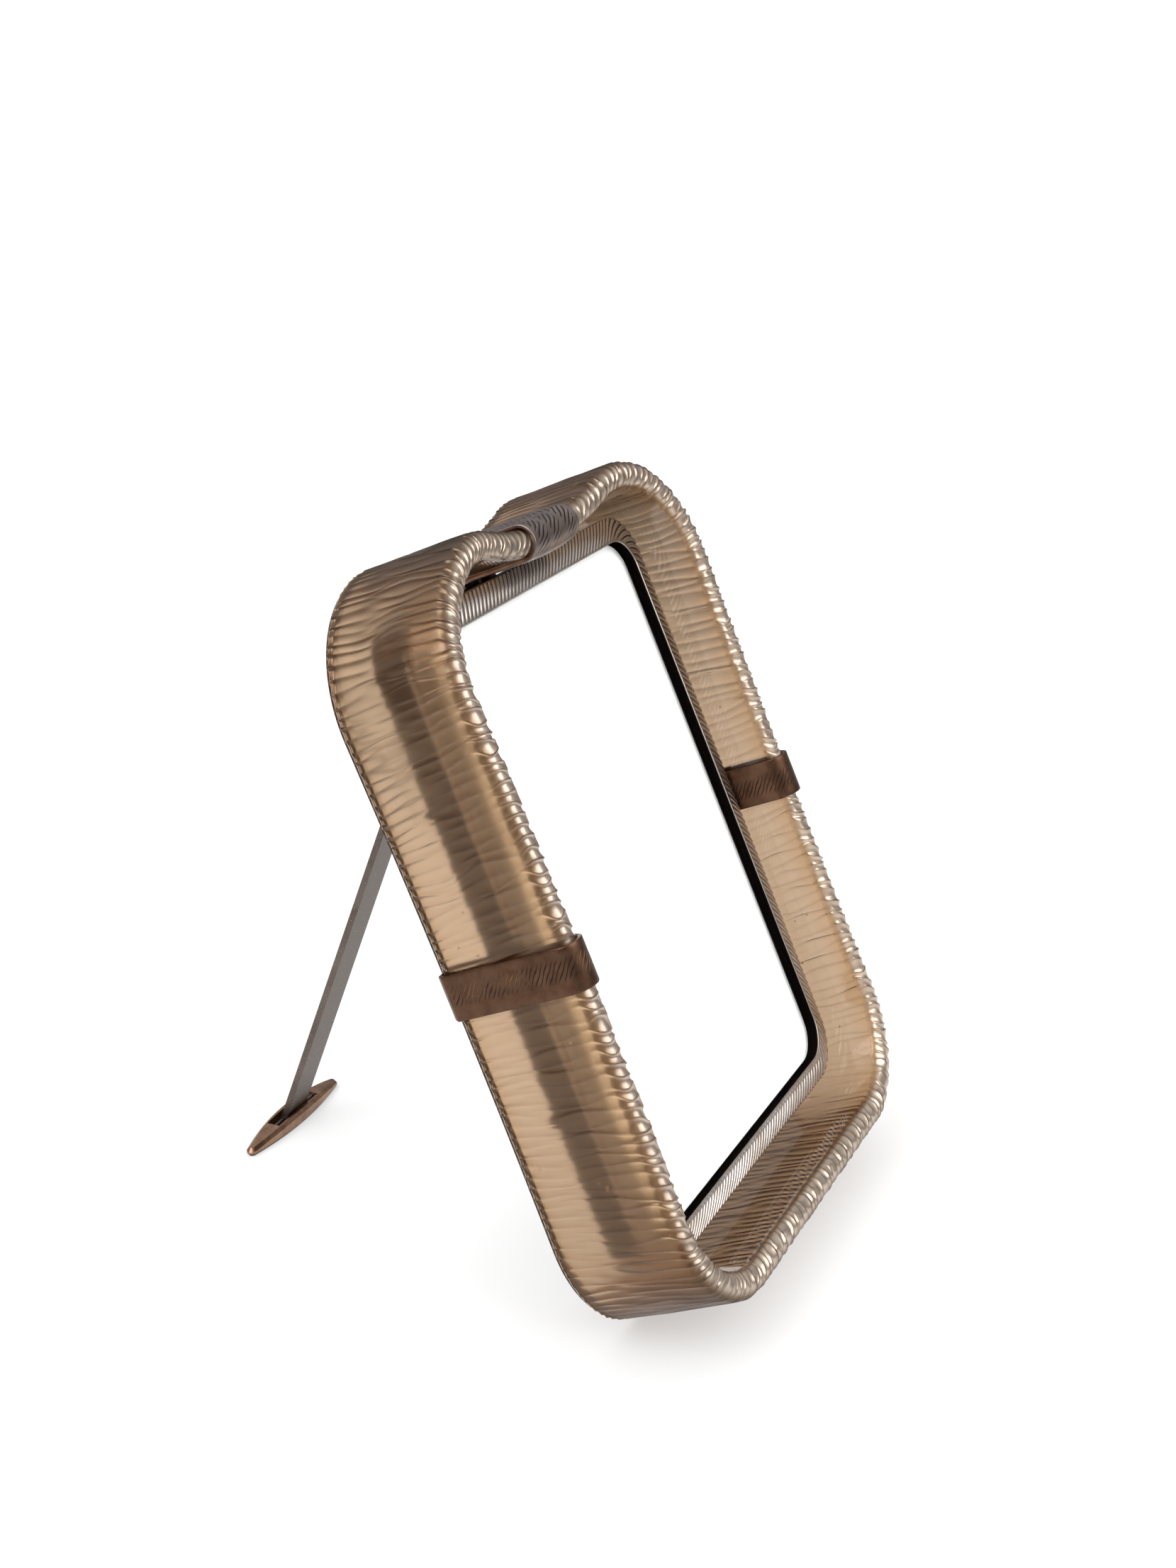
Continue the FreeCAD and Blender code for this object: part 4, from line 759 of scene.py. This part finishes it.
# Painted light: the side straps' bronze, painted lighter and greyer for the top.
top_bronze_painted_light = strap_bronze("top_strap_bronze_painted_light", dark=(0.16, 0.12, 0.105), light=(0.30, 0.24, 0.22),
                          rows=((-STROKE_ROW_GAP, 0.7), (0.0, 0.0), (STROKE_ROW_GAP, -0.7)),
                          pitch=2.0, slant=0.8, row_half=3.6, stroke_half=0.42)
strap_piece("strap_top_band", "strap_top", top_bronze_painted_light, top_strap_grid(),
            (-TAB_WIDTH / 2, CASE_HALF_HEIGHT - TAB_LAP, CASE_REAR - STRAP_THICKNESS),
            (TAB_WIDTH / 2, RING_HEIGHT / 2 - TOP_WAIST - GLASS_WALL - TAB_ROOT, CASE_REAR))


# Case, hinge bracket and turn buttons: sheet and bar of the same bronze, left plain,
# with a dark satin patina. They keep the shapes of their solids.

def finish_node(name, material):
    """Give a solid that is shown as it is a material on its own slots."""
    for holder in frame["nodes"][name].material_slots:
        holder.link = "OBJECT"
        holder.material = material


def patinated_bronze(name, dark, light, roughness, specks=0.0, scale=180):
    """Bronze with a cloudy patina between two colours and a fine grain. Specks are small
    spots where the patina is rubbed through."""
    material, tree, output = new_material(name)
    cloud = noise(tree, scale, 5, 0.62).span(0.3, 0.72)
    fine = noise(tree, 2400, 2)
    metal = mix(tree, cloud, dark, light)
    if specks:
        bright = tuple(min(1.0, 2.2 * part) for part in light)
        metal = mix(tree, noise(tree, 1500, 1).span(0.66, 0.74) * specks, metal, bright)
    principled(tree, output, {"Base Color": metal, "Metallic": 0.9,
                              "Roughness": cloud * 0.12 + fine * 0.08 + (roughness - 0.08),
                              "Normal": bump(tree, fine, 0.15, 0.00006)})
    return material


case_bronze = patinated_bronze("case_bronze", dark=(0.075, 0.05, 0.036), light=(0.15, 0.105, 0.075),
                               roughness=0.42)
for name in ("case_frame", "hinge_bracket", "turn_button_upper_left", "turn_button_upper_right",
             "turn_button_lower_left", "turn_button_lower_right"):
    finish_node(name, case_bronze)


# Pane and photograph: a clear sheet of glass over a blank white card, which shows
# white and even.

def clear_glass():
    """Clear sheet glass, which is a little uneven."""
    material, tree, output = new_material("clear_glass")
    shader = add(tree, "ShaderNodeBsdfPrincipled", {},
                 {"Base Color": (0.985, 0.99, 0.985), "Transmission Weight": 1.0, "IOR": 1.5,
                  "Roughness": noise(tree, 40) * 0.01})
    let_light_through(tree, output, shader, (0.97, 0.98, 0.97))
    return material


def white_paper():
    """Matt white paper with a fine grain. It glows a little, so that it shows white
    behind the pane."""
    material, tree, output = new_material("white_paper")
    grain = noise(tree, 900, 3)
    white = mix(tree, grain, (0.9, 0.9, 0.9), (0.93, 0.93, 0.925))
    principled(tree, output, {"Base Color": white, "Roughness": 0.8, "Emission Color": white,
                              "Emission Strength": 0.35, "Normal": bump(tree, grain, 0.05, 0.00002)})
    return material


finish_node("glazing_pane", clear_glass())
finish_node("photo_card", white_paper())


# Backing: grey board behind the photograph, and a stiff panel covered in dark cloth
# that closes the case.

def grey_board():
    """Pressed board of grey fibres."""
    material, tree, output = new_material("grey_board")
    fibre = noise(tree, 700, 4, 0.6, stretch=(1, 1, 6))
    principled(tree, output, {"Base Color": mix(tree, fibre, (0.30, 0.28, 0.25), (0.42, 0.39, 0.35)),
                              "Roughness": 0.9, "Normal": bump(tree, fibre, 0.2, 0.00005)})
    return material


def back_cloth():
    """Short-piled cloth: dark, with a light nap that lies unevenly."""
    material, tree, output = new_material("back_cloth")
    pile = noise(tree, 3200, 2)
    nap = pile * 0.6 + noise(tree, 30, 3, 0.6) * 0.4
    principled(tree, output, {"Base Color": mix(tree, nap, (0.018, 0.014, 0.012), (0.06, 0.048, 0.04)),
                              "Roughness": 0.95, "Sheen Weight": 0.35, "Sheen Roughness": 0.5,
                              "Normal": bump(tree, pile, 0.5, 0.0001)})
    return material


finish_node("backing_board", grey_board())
finish_node("back_panel", back_cloth())


# Screws and pins: dull dark steel, turned on a lathe, and screwed or riveted in. They
# keep the shapes of their solids.

def turned_steel():
    """Turned steel, dark and a little cloudy."""
    material, tree, output = new_material("turned_steel")
    cloud = noise(tree, 900, 3)
    principled(tree, output, {"Base Color": mix(tree, cloud, (0.12, 0.11, 0.105), (0.22, 0.20, 0.19)),
                              "Metallic": 1.0, "Roughness": cloud * 0.15 + 0.3})
    return material


steel = turned_steel()
for name in ("strap_screws", "turn_button_screws", "hinge_pin", "foot_pin"):
    finish_node(name, steel)


# Strut and foot: a flat brown bronze bar, smooth with small rubbed specks, and a small
# boat-shaped bar of coppery bronze on a thin felt sole.

def sole_felt():
    """Thin felt of short dark fibres."""
    material, tree, output = new_material("sole_felt")
    fibre = noise(tree, 1800, 4, 0.7)
    principled(tree, output, {"Base Color": mix(tree, fibre, (0.09, 0.08, 0.07), (0.2, 0.18, 0.16)),
                              "Roughness": 1.0, "Normal": bump(tree, fibre, 0.6, 0.0002)})
    return material


strut_bronze = patinated_bronze("strut_bronze", dark=(0.10, 0.077, 0.064), light=(0.19, 0.157, 0.136),
                                roughness=0.4, specks=0.5, scale=90)
foot_copper = patinated_bronze("foot_copper", dark=(0.22, 0.12, 0.075), light=(0.42, 0.26, 0.17),
                               roughness=0.36, specks=0.3, scale=260)
finish_node("strut_bar", strut_bronze)
finish_node("foot", foot_copper)
finish_node("foot_sole", sole_felt())


# Floor and light: a white floor that keeps a soft shadow, a plain sky that is bright
# above and dim at the horizon, and two large soft lights, one high on the left and
# one in front.

FLOOR_HALF, FLOOR_GLOW, FLOOR_SHARE = 20, 1.5, 0.6
NEAR_FLOOR, FAR_FLOOR, FAR_LEVEL = 0.38, 1.0, 0.22
CONTACT_SHADOW_REACH, CONTACT_SHADOW_SHARE = 0.08, 0.5
SKY_TOP, SKY_LOW, SKY_HIGH = 0.8, 0.12, 0.75
LIT_PLACE = (0, 0, 0.1)


def white_floor():
    """Matt white that also glows for the camera, in a gloss and through glass, so that it
    shows as plain white. The glow is dimmed close to what stands on the floor, which
    paints a soft contact shadow into it, and a gloss or a lens sees it dim far out,
    where the studio is dark."""
    material, tree, output = new_material("white_floor")
    camera_ray, gloss, through = (add(tree, "ShaderNodeLightPath", output=index) for index in (0, 3, 6))
    grain = noise(tree, 30)
    pale = mix(tree, grain, (0.49, 0.49, 0.49), (0.51, 0.51, 0.51))
    matt = add(tree, "ShaderNodeBsdfDiffuse", {}, {"Color": pale})
    place = add(tree, "ShaderNodeTexCoord", output=3)
    far = add(tree, "ShaderNodeVectorMath", {"operation": "LENGTH"}, {0: place}, 1)
    dim = far.span(NEAR_FLOOR, FAR_FLOOR, 1.0, FAR_LEVEL)
    # Painted shadow: an occlusion test dims the glow near the frame and its foot.
    contact_shadow = add(tree, "ShaderNodeAmbientOcclusion", {}, {"Distance": CONTACT_SHADOW_REACH}, 1)
    level = (camera_ray + (1.0 - camera_ray) * dim) * (contact_shadow * CONTACT_SHADOW_SHARE + (1 - CONTACT_SHADOW_SHARE))
    glow = add(tree, "ShaderNodeEmission", {}, {"Color": (1.0, 1.0, 1.0), "Strength": level * FLOOR_GLOW})
    seen = (camera_ray + gloss + through).span(0, 1)
    both = add(tree, "ShaderNodeMixShader", {}, {0: seen * FLOOR_SHARE, 1: matt, 2: glow})
    tree.links.new(both.socket, output.inputs["Surface"])
    return material


corners = np.array([(-1, -1, 0), (1, -1, 0), (1, 1, 0), (-1, 1, 0)], float) * FLOOR_HALF
floor = piece_from("floor", corners, np.array([[0, 1, 2, 3]]), white_floor(), rounded=False)

world = bpy.data.worlds.new("sky")
bpy.context.scene.world = world
world.use_nodes = True
sky = world.node_tree
sky.nodes.clear()
direction = add(sky, "ShaderNodeSeparateXYZ", {}, {0: add(sky, "ShaderNodeTexCoord", output=0)}, 2)
studio = direction.span(0.0, SKY_TOP, SKY_LOW, SKY_HIGH)
camera_ray = add(sky, "ShaderNodeLightPath", output=0)
backdrop = add(sky, "ShaderNodeBackground", {}, {"Color": (1.0, 1.0, 1.0),
                                                "Strength": camera_ray + (1.0 - camera_ray) * studio})
sky.links.new(backdrop.socket, sky.nodes.new("ShaderNodeOutputWorld").inputs["Surface"])


def soft_light(name, place, size, watts):
    """A square soft light in the room, turned to the middle of the frame."""
    lamp = bpy.data.objects.new(name, bpy.data.lights.new(name, "AREA"))
    lamp.data.shape, lamp.data.size, lamp.data.energy = "SQUARE", size, watts
    lamp.location = place
    lamp.rotation_euler = (Vector(LIT_PLACE) - Vector(place)).to_track_quat("-Z", "Y").to_euler()
    bpy.context.scene.collection.objects.link(lamp)


soft_light("key_light", place=(-1.1, 0.5, 1.5), size=1.2, watts=24)
soft_light("front_light", place=(-0.2, -1.4, 1.2), size=1.4, watts=22)
